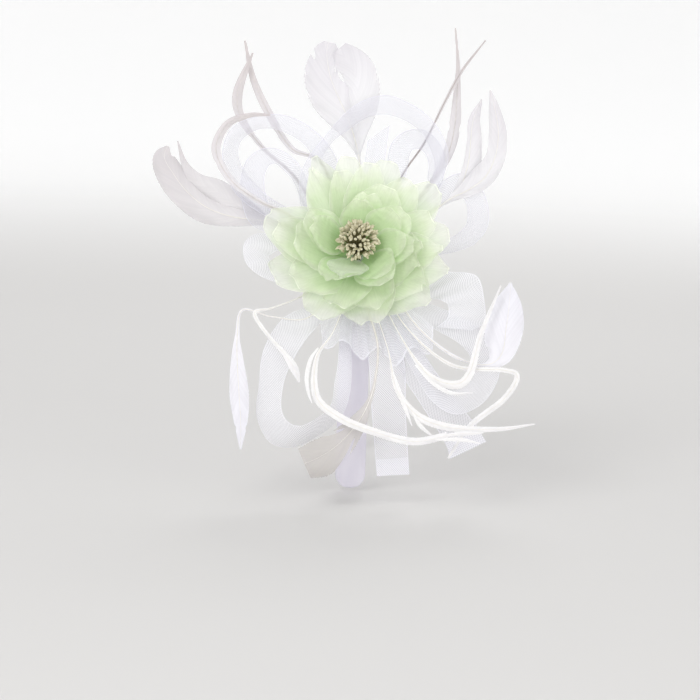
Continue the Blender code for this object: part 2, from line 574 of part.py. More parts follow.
def main():
    for old in list(bpy.data.objects):
        bpy.data.objects.remove(old, do_unlink=True)
    build_headband()
    build_base(make_empty("seat", seat_matrix()))
    build_flower(make_empty("raised_seat", raised_seat()))
    build_spray()
    bpy.context.view_layer.update()


main()
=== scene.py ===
"""Looks of the fascinator headpiece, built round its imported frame.

A satin headband carries a felt base, an organza flower with stamens, and a spray of crin ribbons
and feathers. Sizes in the tables are millimetres; everything is placed from the frame, in metres.
"""

from __future__ import annotations

import logging
import math
from dataclasses import dataclass, field, replace
from enum import Enum
from typing import Sequence

import bmesh
import bpy
import numpy as np
from mathutils import Matrix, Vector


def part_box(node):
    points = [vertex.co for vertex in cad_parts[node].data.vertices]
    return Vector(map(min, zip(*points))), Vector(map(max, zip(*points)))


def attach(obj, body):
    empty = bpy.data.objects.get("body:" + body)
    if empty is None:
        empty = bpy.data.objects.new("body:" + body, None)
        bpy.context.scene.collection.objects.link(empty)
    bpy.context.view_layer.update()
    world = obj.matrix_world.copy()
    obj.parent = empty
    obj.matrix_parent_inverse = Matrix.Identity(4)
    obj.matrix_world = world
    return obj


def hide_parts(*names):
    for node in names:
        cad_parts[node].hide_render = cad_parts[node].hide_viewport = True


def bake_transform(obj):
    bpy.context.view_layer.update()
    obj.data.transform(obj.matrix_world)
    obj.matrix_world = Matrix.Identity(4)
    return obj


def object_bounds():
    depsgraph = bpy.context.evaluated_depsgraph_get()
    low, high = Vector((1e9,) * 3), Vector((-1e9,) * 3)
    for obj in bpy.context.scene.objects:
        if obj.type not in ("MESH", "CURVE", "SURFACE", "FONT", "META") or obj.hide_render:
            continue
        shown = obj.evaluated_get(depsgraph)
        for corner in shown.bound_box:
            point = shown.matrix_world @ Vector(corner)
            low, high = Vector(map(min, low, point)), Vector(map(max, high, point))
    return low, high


LOG = logging.getLogger("fascinator")
MM = 0.001
SPLINE_STEPS = 24
Array = np.ndarray
Socket = bpy.types.NodeSocket
Station = tuple[float, ...]
Track = tuple[Station, ...]
Colour = tuple[float, float, float]

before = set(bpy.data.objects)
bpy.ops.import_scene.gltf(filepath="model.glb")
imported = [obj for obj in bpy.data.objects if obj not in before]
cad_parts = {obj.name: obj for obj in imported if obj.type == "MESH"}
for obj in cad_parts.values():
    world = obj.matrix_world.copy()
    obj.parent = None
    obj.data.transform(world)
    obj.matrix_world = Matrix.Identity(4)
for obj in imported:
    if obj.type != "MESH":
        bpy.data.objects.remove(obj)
CAD_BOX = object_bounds()


# ---------------------------------------------------------------- shared frames

# How the felt and the spray lean, and the levels along the felt's own axis, in millimetres.
SEAT_TILT = math.radians(51.0)
SPRAY_LEAN = math.radians(29.0)
SPRAY_ROLL = math.radians(1.9)
FLOWER_CENTRE_LEVEL = 32.0
FELT_LIFT = 0.3
FELT_THICKNESS = 2.0
REACH_ABOVE = 55.0
REACH_BELOW = 30.0


def seat_frame() -> Matrix:
    """Frame of the felt base: its origin on the band's outer face, its Z square to the felt.

    Returns:
        The frame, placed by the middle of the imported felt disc.
    """
    low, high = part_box("felt_base")
    turn = Matrix.Rotation(SEAT_TILT, 4, "X")
    to_face = turn.to_3x3() @ Matrix.Identity(3).col[2] * ((FELT_LIFT + FELT_THICKNESS / 2) * MM)
    return Matrix.Translation((low + high) / 2 - to_face) @ turn


def spray_frame() -> Matrix:
    """Frame of the spray: X across, Y up it and Z towards its front, from the flower's centre.

    Returns:
        The frame in metres.
    """
    centre = seat_frame() @ Matrix.Translation((0, 0, FLOWER_CENTRE_LEVEL * MM))
    return centre @ Matrix.Rotation(SPRAY_LEAN, 4, "X") @ Matrix.Rotation(SPRAY_ROLL, 4, "Z")


def placed(points: Array, matrix: Matrix) -> Array:
    """Points in millimetres of a frame, as metres of the row.

    Args:
        points: array of any shape whose last axis is x, y, z.
        matrix: the frame.

    Returns:
        The same array, moved.
    """
    turn = np.array(matrix.to_3x3())
    return points * MM @ turn.T + np.array(matrix.translation)


# ---------------------------------------------------------------- curves and meshes


def spline(stations: Sequence[Sequence[float]], count: int) -> Array:
    """Catmull-Rom curve through stations, resampled to even steps of its first three values.

    Args:
        stations: rows of values, the first three a place.
        count: rows wanted.

    Returns:
        Array of count rows.
    """
    knots = np.asarray(stations, float)
    padded = np.concatenate([[2 * knots[0] - knots[1]], knots, [2 * knots[-1] - knots[-2]]])
    t = np.linspace(0, 1, SPLINE_STEPS, endpoint=False)[None, :, None]
    p0, p1, p2, p3 = (padded[i : len(padded) - 3 + i, None, :] for i in range(4))
    curve = 0.5 * (2 * p1 + (p2 - p0) * t + (2 * p0 - 5 * p1 + 4 * p2 - p3) * t**2
                   + (3 * p1 - p0 - 3 * p2 + p3) * t**3)
    dense = np.concatenate([curve.reshape(-1, knots.shape[1]), knots[-1:]])
    return resampled(dense, count)


def resampled(dense: Array, count: int) -> Array:
    """Rows of a dense curve at even steps of its length.

    Args:
        dense: rows whose first three values are a place.
        count: rows wanted.

    Returns:
        Array of count rows.
    """
    along = arc_length(dense[:, :3])
    even = np.linspace(0, along[-1], count)
    return np.stack([np.interp(even, along, column) for column in dense.T], axis=1)


def arc_length(points: Array) -> Array:
    """Running length along rows of points, starting at 0."""
    steps = np.linalg.norm(np.diff(points, axis=0), axis=1)
    return np.concatenate([[0.0], np.cumsum(steps)])


def unit(vectors: Array) -> Array:
    """Vectors scaled to length 1 along the last axis."""
    return vectors / np.maximum(np.linalg.norm(vectors, axis=-1, keepdims=True), 1e-9)


def lay(stations: Array) -> Array:
    """Across, rise and level above the felt, as points of the spray's frame.

    The spray leans with the felt near it, and the lean dies away with distance by a tanh, so that
    it stands above the flower and hangs below it.

    Args:
        stations: array whose last axis holds across, rise and level.

    Returns:
        Array of x, y, z in millimetres.
    """
    across, rise, level = np.moveaxis(np.asarray(stations, float)[..., :3], -1, 0)
    past = rise + FLOWER_CENTRE_LEVEL * math.sin(SPRAY_LEAN)
    reach = np.where(past > 0, REACH_ABOVE, REACH_BELOW)
    lean = -math.tan(SPRAY_LEAN) * reach * np.tanh(past / reach)
    depth = level - FLOWER_CENTRE_LEVEL * math.cos(SPRAY_LEAN) + lean
    return np.stack([across, rise, depth], axis=-1)


def grid_faces(rows: int, columns: int, wrap: bool = False) -> Array:
    """Quads of a grid of points, row by row.

    Args:
        rows: points along.
        columns: points across.
        wrap: whether the last column joins the first.

    Returns:
        Array of four indices a face.
    """
    index = np.arange(rows * columns).reshape(rows, columns)
    nxt = np.roll(index, -1, axis=1)
    last = columns if wrap else columns - 1
    quads = np.stack([index[:-1], nxt[:-1], nxt[1:], index[1:]], axis=-1)
    return quads[:, :last].reshape(-1, 4)


def tube_faces(rows: int, around: int, count: int = 1) -> tuple[Array, list[tuple[int, ...]]]:
    """Quads and end caps of closed tubes, whose points come ring by ring, tube after tube.

    Args:
        rows: rings in a tube.
        around: points in a ring.
        count: tubes.

    Returns:
        The quads, and two caps a tube.
    """
    size = rows * around
    starts = np.arange(count) * size
    quads = grid_faces(rows, around, wrap=True)[None] + starts[:, None, None]
    caps = []
    for start in starts.tolist():
        caps.append(tuple(reversed(range(start, start + around))))
        caps.append(tuple(range(start + size - around, start + size)))
    return quads.reshape(-1, 4), caps


def make_piece(name: str, points: Array, faces: Array, maps: dict[str, Array] | None = None,
               caps: Sequence[Sequence[int]] = ()) -> bpy.types.Object:
    """A smooth-shaded mesh object from arrays.

    Args:
        name: the piece's name.
        points: vertices in metres.
        faces: quads.
        maps: UV maps, each one pair of numbers a vertex.
        caps: further polygons, such as the ends of a tube.

    Returns:
        The object, linked to the scene.
    """
    mesh = bpy.data.meshes.new(name)
    polygons = [tuple(face) for face in faces.tolist()] + [tuple(cap) for cap in caps]
    mesh.from_pydata(points.reshape(-1, 3).tolist(), [], polygons)
    corners = np.empty(len(mesh.loops), np.int32)
    mesh.loops.foreach_get("vertex_index", corners)
    for label, values in (maps or {}).items():
        layer = mesh.uv_layers.new(name=label)
        layer.data.foreach_set("uv", values.reshape(-1, 2)[corners].astype(np.float32).ravel())
    mesh.polygons.foreach_set("use_smooth", np.ones(len(mesh.polygons), bool))
    mesh.update()
    made = bpy.data.objects.new(name, mesh)
    bpy.context.scene.collection.objects.link(made)
    return made


def make_sheet(name: str, points: Array, cloth: Array, share: Array) -> bpy.types.Object:
    """One layer of cloth on a grid of points.

    Args:
        name: the piece's name.
        points: rows by columns by 3, in metres.
        cloth: place on the flat cloth in metres, rows by columns by 2.
        share: the same as shares of the width and length.

    Returns:
        The object.
    """
    rows, columns = points.shape[:2]
    return make_piece(name, points, grid_faces(rows, columns), {"Cloth": cloth, "Share": share})


def tube_points(path: Array, radius: Array, sides: int) -> Array:
    """Rings round a path: P(s, a) = Q(s) + r(s) (cos a, sin a) square to the path's tangent.

    Args:
        path: rows of places.
        radius: one radius a row.
        sides: points a ring.

    Returns:
        Array of rows by sides by 3.
    """
    tangent = unit(np.gradient(path, axis=0))
    upright = abs(tangent[:, 2]).mean() >= 0.8
    guide = np.array([0.0, 1.0, 0.0] if upright else [0.0, 0.0, 1.0])
    first = unit(np.cross(tangent, guide))
    second = np.cross(tangent, first)
    turn = np.linspace(0, 2 * math.pi, sides, endpoint=False)[None, :, None]
    ring = np.cos(turn) * first[:, None] + np.sin(turn) * second[:, None]
    return path[:, None] + ring * radius[:, None, None]


# ---------------------------------------------------------------- shader groups


class Wiring:
    """Short ways to add and join the nodes of one tree."""

    def __init__(self, tree: bpy.types.NodeTree) -> None:
        """Keeps the tree to work on."""
        self.tree = tree

    def node(self, kind: str, **settings: object) -> bpy.types.Node:
        """A new node with properties set.

        Args:
            kind: the node's type without its ShaderNode prefix.
            settings: properties by name.

        Returns:
            The node.
        """
        made = self.tree.nodes.new(kind if kind.startswith("Node") else "ShaderNode" + kind)
        for key, value in settings.items():
            setattr(made, key, value)
        return made

    def join(self, source: Socket, target: Socket) -> None:
        """Links a value to the socket that takes it."""
        self.tree.links.new(source, target)

    def feed(self, target: Socket, value: object) -> None:
        """Links a socket, or sets a plain value."""
        if isinstance(value, Socket):
            self.join(value, target)
        else:
            target.default_value = value

    def math(self, operation: str, *values: object) -> Socket:
        """The result of a Math node on sockets or numbers."""
        made = self.node("Math", operation=operation)
        for socket, value in zip(made.inputs, values):
            self.feed(socket, value)
        return made.outputs[0]

    def mix(self, factor: object, first: object, second: object) -> Socket:
        """A colour between two, by a factor from 0 to 1."""
        made = self.node("Mix", data_type="RGBA")
        self.feed(made.inputs["Factor"], factor)
        self.feed(made.inputs[6], first)
        self.feed(made.inputs[7], second)
        return made.outputs[2]

    def remap(self, value: object, low: float, high: float, to_low: float = 0.0,
              to_high: float = 1.0) -> Socket:
        """A value carried from one range to another, smoothly and clamped."""
        made = self.node("MapRange", interpolation_type="SMOOTHSTEP")
        for socket, number in zip(made.inputs, (value, low, high, to_low, to_high)):
            self.feed(socket, number)
        return made.outputs[0]

    def uv(self, label: str) -> tuple[Socket, Socket, Socket]:
        """A UV map's vector, and its two numbers."""
        vector = self.node("UVMap", uv_map=label).outputs[0]
        apart = self.node("SeparateXYZ")
        self.join(vector, apart.inputs[0])
        return vector, apart.outputs[0], apart.outputs[1]

    def rim(self, share: object) -> Socket:
        """How far a share from 0 to 1 lies from its middle: 0 there, 1 at both ends."""
        return self.math("ABSOLUTE", self.math("MULTIPLY", self.math("SUBTRACT", share, 0.5), 2.0))

    def stretch(self, vector: object, shares: Sequence[float]) -> Socket:
        """A vector multiplied by three shares through a Mapping node."""
        mapping = self.node("Mapping")
        self.feed(mapping.inputs["Vector"], vector)
        mapping.inputs["Scale"].default_value = shares
        return mapping.outputs[0]

    def noise(self, vector: object, scale: float, shares: Sequence[float] = (1, 1, 1),
              detail: float = 3.0) -> Socket:
        """Noise of one value, on a vector stretched by three shares."""
        stretched = self.stretch(vector, shares)
        made = self.node("TexNoise")
        self.join(stretched, made.inputs["Vector"])
        made.inputs["Scale"].default_value = scale
        made.inputs["Detail"].default_value = detail
        return made.outputs[0]


def new_group(name: str, takes: dict[str, str], gives: dict[str, str]) -> tuple[
    bpy.types.NodeTree, Wiring, bpy.types.Node, bpy.types.Node
]:
    """An empty shader group with named sockets.

    Args:
        name: the group's name.
        takes: input names and their kinds, Float, Vector or Color.
        gives: output names and their kinds.

    Returns:
        The tree, its wiring, and its input and output nodes.
    """
    tree = bpy.data.node_groups.new(name, "ShaderNodeTree")
    for sockets, side in ((takes, "INPUT"), (gives, "OUTPUT")):
        for label, kind in sockets.items():
            tree.interface.new_socket(label, in_out=side, socket_type="NodeSocket" + kind)
    wiring = Wiring(tree)
    return tree, wiring, wiring.node("NodeGroupInput"), wiring.node("NodeGroupOutput")


def weave_group() -> bpy.types.NodeTree:
    """Two sets of threads crossing on the slant.

    A thread's mask is a smooth pulse of the share of its pitch that a point lies from the thread's
    middle; the two sets are joined by their maximum.

    Returns:
        The group, giving Threads from 0 to 1.
    """
    takes = dict.fromkeys(("Across", "Along", "Pitch", "Slant", "Thread"), "Float")
    tree, wire, given, out = new_group("Slanted threads", takes, {"Threads": "Float"})
    across, along, pitch, slant, thread = given.outputs[:5]
    masks = []
    for direction in (1.0, -1.0):
        shift = wire.math("MULTIPLY", along, wire.math("MULTIPLY", slant, direction))
        place = wire.math("DIVIDE", wire.math("ADD", across, shift), pitch)
        away = wire.math("ABSOLUTE", wire.math("SUBTRACT", wire.math("FRACT", place), 0.5))
        reach = wire.math("MULTIPLY", thread, 0.5)
        masks.append(wire.math("SUBTRACT", 1.0, wire.remap(away, 0.0, reach)))
    wire.join(wire.math("MAXIMUM", *masks), out.inputs[0])
    return tree


def streak_group() -> bpy.types.NodeTree:
    """Fine streaks along a cloth or vane: the mean of a noise and one 3.1 times finer.

    Returns:
        The group, giving Streaks from 0 to 1.
    """
    tree, wire, given, out = new_group(
        "Fine streaks", {"Vector": "Vector", "Scale": "Float"}, {"Streaks": "Float"})
    values = []
    for factor in (1.0, 3.1):
        made = wire.node("TexNoise")
        wire.join(given.outputs["Vector"], made.inputs["Vector"])
        wire.join(wire.math("MULTIPLY", given.outputs["Scale"], factor), made.inputs["Scale"])
        made.inputs["Detail"].default_value = 2.0
        values.append(made.outputs[0])
    mean = wire.math("MULTIPLY", wire.math("ADD", *values), 0.5)
    wire.join(wire.remap(mean, 0.36, 0.64), out.inputs[0])
    return tree


def grain_group() -> bpy.types.NodeTree:
    """Even fine grain in three dimensions, for felt, thread, quill and plastic.

    Returns:
        The group, giving Grain from 0 to 1.
    """
    tree, wire, given, out = new_group("Fine grain", {"Scale": "Float"}, {"Grain": "Float"})
    place = wire.node("TexCoord").outputs["Object"]
    made = wire.node("TexNoise")
    wire.join(place, made.inputs["Vector"])
    wire.join(given.outputs["Scale"], made.inputs["Scale"])
    made.inputs["Detail"].default_value = 5.0
    wire.join(made.outputs[0], out.inputs[0])
    return tree


@dataclass(frozen=True)
class Groups:
    """The shader groups that several finishes share."""

    weave: bpy.types.NodeTree = field(default_factory=weave_group)
    streaks: bpy.types.NodeTree = field(default_factory=streak_group)
    grain: bpy.types.NodeTree = field(default_factory=grain_group)


GROUPS = Groups()


def rgba(colour: Colour) -> tuple[float, float, float, float]:
    """A colour with full alpha."""
    return (*colour, 1.0)


class Dresser(Wiring):
    """One material's tree, with its Principled shader at hand."""

    def __init__(self, name: str, **constants: float) -> None:
        """Starts a material.

        Args:
            name: the material's name.
            constants: plain values of the shader's own sockets, by name with underscores.
        """
        self.material = bpy.data.materials.new(name)
        self.material.use_nodes = True
        super().__init__(self.material.node_tree)
        self.shader = self.material.node_tree.nodes["Principled BSDF"]
        for key, value in constants.items():
            self.shader.inputs[key.replace("_", " ")].default_value = value

    def group(self, tree: bpy.types.NodeTree, **values: object) -> Socket:
        """A shared group's first output, with inputs fed by name."""
        made = self.node("Group", node_tree=tree)
        for key, value in values.items():
            self.feed(made.inputs[key], value)
        return made.outputs[0]

    def bump(self, height: object, distance: float, strength: float = 1.0) -> None:
        """Raises the surface by a height from 0 to 1, over a distance in metres."""
        made = self.node("Bump")
        made.inputs["Strength"].default_value = strength
        made.inputs["Distance"].default_value = distance
        self.feed(made.inputs["Height"], height)
        self.join(made.outputs[0], self.shader.inputs["Normal"])

    def set(self, label: str, value: object) -> None:
        """Feeds one of the shader's sockets."""
        self.feed(self.shader.inputs[label], value)


# ---------------------------------------------------------------- finishes


@dataclass(frozen=True)
class Organza:
    """Sheer gathered organza: deep colour where it is gathered, pale towards the cut edge."""

    name: str
    heart: Colour
    middle: Colour
    edge: Colour
    cover: float
    fade: float = 0.25
    # Strength of a painted glow: the cloth's colour emitted, standing in for light through the
    # sheer cloth.
    painted_glow: float = 0.05
    # Colour of a painted sheen, mixed in along the fibre streaks.
    painted_sheen: Colour = (0.98, 1.0, 0.94)
    cut: Colour = (0.93, 0.97, 0.86)
    weft: tuple[float, float, float] = (900, 60, 1)
    clouds: float = 70.0

    def make(self) -> bpy.types.Material:
        """The material, on the petal's Cloth and Share maps.

        The colour runs from heart to middle to edge with the share of the length, blurred by a
        cloudy noise. The cover thins towards the edge, and thickens again along the cut hem.

        Returns:
            The material.
        """
        kit = Dresser(self.name, Sheen_Weight=0.3, Sheen_Roughness=0.4, Roughness=0.5,
                      Emission_Strength=self.painted_glow)
        cloth = kit.uv("Cloth")[0]
        _, across, along = kit.uv("Share")
        streaks = kit.group(GROUPS.streaks, Vector=kit.stretch(cloth, self.weft), Scale=1.0)
        clouds = kit.noise(cloth, self.clouds)
        reach = kit.math("ADD", along, kit.math("MULTIPLY", kit.math("SUBTRACT", clouds, 0.5), 0.5))
        colour = kit.mix(kit.remap(reach, 0.15, 0.55), rgba(self.heart), rgba(self.middle))
        rim = kit.rim(across)
        edge = kit.math("MAXIMUM", kit.remap(reach, 0.6, 1.0), kit.remap(rim, 0.7, 1.0, 0.0, 0.8))
        colour = kit.mix(edge, colour, rgba(self.edge))
        # Painted sheen: a pale colour mixed in along the fibre streaks.
        colour = kit.mix(kit.math("MULTIPLY", streaks, 0.06), colour, rgba(self.painted_sheen))
        hem = kit.math("MAXIMUM", kit.remap(rim, 0.955, 0.985), kit.remap(along, 0.97, 0.99))
        colour = kit.mix(kit.math("MULTIPLY", hem, 0.15), colour, rgba(self.cut))
        kit.set("Base Color", colour)
        # The colour is emitted as a painted glow.
        kit.set("Emission Color", colour)
        thin = kit.math("MULTIPLY", edge, self.fade)
        alpha = kit.math("SUBTRACT", self.cover, thin)
        alpha = kit.math("MAXIMUM", alpha, kit.math("MULTIPLY", hem, 0.60))
        kit.set("Alpha", kit.math("ADD", alpha, kit.math("MULTIPLY", streaks, 0.04)))
        kit.bump(streaks, 0.0003, 0.15)
        return kit.material


@dataclass(frozen=True)
class Crin:
    """Open slanted braid of clear nylon, closer along its two edges.

    The pitch is in millimetres, cover and weight are the alpha between threads and what a thread
    adds to it, and a hem lies past the share hem_from of the length; above 1 there is none.
    """

    name: str
    colour: Colour
    shade: Colour
    pitch: float
    cover: float
    weight: float = 0.28
    hem_from: float = 2.0

    def make(self) -> bpy.types.Material:
        """The material, on the ribbon's Cloth and Share maps.

        Returns:
            The material.
        """
        kit = Dresser(self.name, Roughness=0.38, Sheen_Weight=0.3, Specular_IOR_Level=0.6)
        _, across, along = kit.uv("Cloth")
        _, share, length = kit.uv("Share")
        threads = kit.group(GROUPS.weave, Across=across, Along=along, Pitch=self.pitch * MM,
                            Slant=0.8, Thread=0.5)
        selvedge = kit.remap(kit.rim(share), 0.88, 0.97)
        cover = kit.math("ADD", self.cover, kit.math("MULTIPLY", threads, self.weight))
        hem = kit.remap(length, self.hem_from, self.hem_from + 0.005)
        cover = kit.math("ADD", cover, kit.math("MULTIPLY", hem, 0.25))
        kit.set("Alpha", kit.math("MAXIMUM", cover, kit.math("MULTIPLY", selvedge, 0.75)))
        kit.set("Base Color", kit.mix(threads, rgba(self.shade), rgba(self.colour)))
        kit.bump(threads, 0.0003, 0.4)
        return kit.material


@dataclass(frozen=True)
class Vane:
    """A feather's vane: close barbs that open towards the edge, darker towards the tip, partly by
    its own tone and partly by painted shade.
    """

    name: str
    colour: Colour
    # The tip colour is partly the feather's own greyer tone and partly painted shade towards the
    # tip.
    tip: Colour
    cover: float
    tip_tone_and_shade: float
    fringe: float
    split: float
    split_scale: float = 110.0
    split_from: float = 0.62
    # A dark grey for the painted shade between barbs and between locks of barbs.
    painted_barb_shade: Colour = (0.42, 0.40, 0.46)
    barbs: tuple[float, float, float] = (20, 1000, 1)
    locks: tuple[float, float, float] = (8, 130, 1)

    def make(self) -> bpy.types.Material:
        """The material, on the vane's Cloth map, whose second number runs from barb to barb.

        The vane ends where the share of its half width passes 1 less a fine and a coarse noise of
        that number, so that each gap follows one barb.

        Returns:
            The material.
        """
        # Emission of the vane's own colour is a painted glow.
        kit = Dresser(self.name, Roughness=0.55, Sheen_Weight=0.25, Sheen_Roughness=0.5,
                      Emission_Strength=0.04)
        cloth = kit.uv("Cloth")[0]
        _, out, along = kit.uv("Share")
        barbs = kit.group(GROUPS.streaks, Vector=kit.stretch(cloth, self.barbs), Scale=1.0)
        locks = kit.group(GROUPS.streaks, Vector=kit.stretch(cloth, self.locks), Scale=1.0)
        # Painted shade, with some of the feather's own tone: the colour turns to the tip colour
        # towards the tip.
        shade = kit.math("MULTIPLY", kit.remap(along, 0.45, 1.0), self.tip_tone_and_shade)
        colour = kit.mix(shade, rgba(self.colour), rgba(self.tip))
        # Painted shade: the colour darkens along the streaks of barbs and of locks, for the shade
        # between them.
        barb_shade_colour = kit.mix(0.20, colour, rgba(self.painted_barb_shade))
        colour = kit.mix(kit.math("MULTIPLY", locks, 0.7), colour, barb_shade_colour)
        colour = kit.mix(kit.math("MULTIPLY", barbs, 0.5), colour, barb_shade_colour)
        kit.set("Base Color", colour)
        # The vane's colour is emitted as a painted glow.
        kit.set("Emission Color", colour)
        fine = kit.noise(kit.stretch(cloth, (0, 900, 1)), 1.0, detail=1.0)
        coarse = kit.noise(kit.stretch(cloth, (0, self.split_scale, 1)), 1.0, detail=0.0)
        split = kit.remap(coarse, self.split_from, self.split_from + 0.12)
        whole = kit.math("SUBTRACT", 1.0, kit.math("MULTIPLY", split, self.split))
        reach = kit.math("SUBTRACT", whole, kit.math("MULTIPLY", fine, self.fringe))
        past = kit.math("SUBTRACT", out, reach)
        kept = kit.math("SUBTRACT", 1.0, kit.remap(past, -0.03, 0.01))
        kit.set("Alpha", kit.math("MULTIPLY", kept, self.cover))
        kit.bump(barbs, 0.0003, 0.4)
        return kit.material


@dataclass(frozen=True)
class Satin:
    """Smooth satin with a fine weft and a few soft folds, whose shade is painted into its colour.
    """

    name: str
    colour: Colour
    shade: Colour

    def make(self) -> bpy.types.Material:
        """The material, on the band's Cloth map.

        Returns:
            The material.
        """
        kit = Dresser(self.name, Roughness=0.34, Sheen_Weight=0.25, Anisotropic=0.5,
                      Specular_IOR_Level=0.6)
        cloth, across, along = kit.uv("Cloth")
        threads = kit.group(GROUPS.weave, Across=across, Along=along, Pitch=0.00045, Slant=0.25,
                            Thread=0.9)
        folds = kit.noise(cloth, 1.0, (140, 40, 1))
        weft = kit.math("MULTIPLY", threads, 0.15)
        # Painted shade: the colour darkens with the fold noise; the weft adds its fine pattern.
        fold_shade_and_weave = kit.math("ADD", kit.math("MULTIPLY", folds, 0.8), weft)
        kit.set("Base Color", kit.mix(fold_shade_and_weave, rgba(self.shade), rgba(self.colour)))
        kit.set("Roughness", kit.remap(folds, 0.3, 0.7, 0.30, 0.44))
        height = kit.math("ADD", kit.math("MULTIPLY", threads, 0.12), folds)
        kit.bump(height, 0.0005, 0.35)
        return kit.material


@dataclass(frozen=True)
class Grained:
    """A plain stuff with a fine grain: felt, plastic, thread, quill, stem or seed."""

    name: str
    colour: Colour
    shade: Colour
    roughness: float
    scale: float
    depth: float
    sheen: float = 0.0

    def make(self) -> bpy.types.Material:
        """The material, in Object coordinates.

        Returns:
            The material.
        """
        kit = Dresser(self.name, Sheen_Weight=self.sheen)
        grain = kit.group(GROUPS.grain, Scale=self.scale)
        light = kit.remap(grain, 0.3, 0.7)
        kit.set("Base Color", kit.mix(light, rgba(self.shade), rgba(self.colour)))
        low, high = self.roughness - 0.06, self.roughness + 0.06
        kit.set("Roughness", kit.remap(grain, 0.3, 0.7, low, high))
        kit.bump(grain, self.depth, 0.6)
        return kit.material


class Finish(Enum):
    """Every finish of the headpiece, by the piece it is for."""

    MINT = Organza("mint_organza", heart=(0.43, 0.66, 0.27), middle=(0.60, 0.77, 0.44),
                   edge=(0.79, 0.86, 0.65), cover=0.70)
    PALE_MINT = Organza("pale_mint_organza", heart=(0.46, 0.67, 0.30), middle=(0.65, 0.78, 0.50),
                        edge=(0.83, 0.875, 0.70), cover=0.62, fade=0.22)
    WHITE_MINT = Organza("white_mint_organza", heart=(0.62, 0.76, 0.48),
                         middle=(0.78, 0.86, 0.68), edge=(0.90, 0.94, 0.84), cover=0.60)
    GATHER = Grained("gathered_mint", colour=(0.50, 0.74, 0.36), shade=(0.36, 0.60, 0.24),
                     roughness=0.7, scale=600, depth=0.0004, sheen=0.3)
    # A darker lavender copy of the crin for the ribbons above the flower: painted shade over the
    # braid's own pale lavender.
    SHADED_CRIN = Crin("shaded_crin", colour=(0.87, 0.865, 0.93), shade=(0.73, 0.715, 0.84), pitch=1.05,
                cover=0.27)
    DENSE_CRIN = Crin("dense_crin", colour=(0.95, 0.95, 0.975), shade=(0.87, 0.865, 0.94),
                      pitch=1.0, cover=0.44, weight=0.34)
    HEMMED_CRIN = Crin("hemmed_crin", colour=(0.93, 0.93, 0.965), shade=(0.84, 0.83, 0.93),
                       pitch=1.15, cover=0.34, weight=0.30, hem_from=0.91)
    SATIN = Satin("band_satin", colour=(0.85, 0.825, 0.89), shade=(0.69, 0.665, 0.76))
    # In each vane the tip colour is partly the feather's own tone and partly painted shade towards
    # the tip.
    GOOSE = Vane("goose_vane", colour=(0.86, 0.845, 0.865), tip=(0.70, 0.665, 0.70), cover=0.90,
                 tip_tone_and_shade=0.5, fringe=0.09, split=0.30, split_scale=70.0, split_from=0.66)
    # A darker copy of the goose vane for the left feather: painted shade.
    SHADED_GOOSE = Vane("shaded_goose_vane", colour=(0.78, 0.755, 0.765), tip=(0.60, 0.555, 0.565),
                      cover=0.92, tip_tone_and_shade=0.6, fringe=0.10, split=0.32, split_scale=70.0,
                      split_from=0.62)
    BRIGHT_GOOSE = Vane("bright_goose_vane", colour=(0.92, 0.91, 0.95), tip=(0.84, 0.83, 0.91),
                        cover=0.93, tip_tone_and_shade=0.5, fringe=0.09, split=0.25, split_scale=70.0,
                        split_from=0.68)
    CURLED_GOOSE = Vane("curled_goose_vane", colour=(0.89, 0.88, 0.90), tip=(0.72, 0.69, 0.73),
                        cover=0.88, tip_tone_and_shade=0.7, fringe=0.16, split=0.34, split_scale=90.0,
                        split_from=0.60)
    SHEER_GOOSE = Vane("sheer_goose_vane", colour=(0.70, 0.67, 0.64), tip=(0.55, 0.52, 0.49),
                       cover=0.84, tip_tone_and_shade=0.8, fringe=0.15, split=0.4)
    COQUE = Vane("coque_vane", colour=(0.82, 0.79, 0.81), tip=(0.62, 0.56, 0.55), cover=0.92,
                 tip_tone_and_shade=0.8, fringe=0.12, split=0.15)
    STRIPPED = Vane("stripped_vane", colour=(0.95, 0.94, 0.93), tip=(0.88, 0.87, 0.90), cover=0.98,
                    tip_tone_and_shade=0.4, fringe=0.25, split=0.45, split_scale=60.0, split_from=0.64)
    FELT = Grained("white_felt", colour=(0.84, 0.84, 0.83), shade=(0.68, 0.68, 0.68),
                   roughness=0.92, scale=900, depth=0.0005, sheen=0.4)
    PLASTIC = Grained("strip_plastic", colour=(0.86, 0.86, 0.85), shade=(0.78, 0.78, 0.77),
                      roughness=0.4, scale=260, depth=0.0001)
    THREAD = Grained("sewing_thread", colour=(0.86, 0.86, 0.86), shade=(0.66, 0.66, 0.68),
                     roughness=0.6, scale=2400, depth=0.0001, sheen=0.3)
    QUILL = Grained("cream_quill", colour=(0.93, 0.91, 0.87), shade=(0.84, 0.81, 0.75),
                    roughness=0.4, scale=500, depth=0.0001)
    GREY_QUILL = Grained("grey_quill", colour=(0.74, 0.70, 0.68), shade=(0.60, 0.56, 0.54),
                         roughness=0.4, scale=500, depth=0.0001)
    DARK_QUILL = Grained("taupe_quill", colour=(0.42, 0.36, 0.33), shade=(0.26, 0.21, 0.19),
                         roughness=0.42, scale=500, depth=0.0001)
    # The stems are real, but their dark olive is the shade seen between the seeds, painted on them.
    SHADED_STEM = Grained("stamen_stem", colour=(0.30, 0.27, 0.13), shade=(0.18, 0.15, 0.06),
                   roughness=0.6, scale=700, depth=0.0001)
    SEED = Grained("stamen_seed", colour=(0.76, 0.72, 0.54), shade=(0.52, 0.48, 0.30),
                   roughness=0.55, scale=700, depth=0.0003)


MATERIALS: dict[Finish, bpy.types.Material] = {}


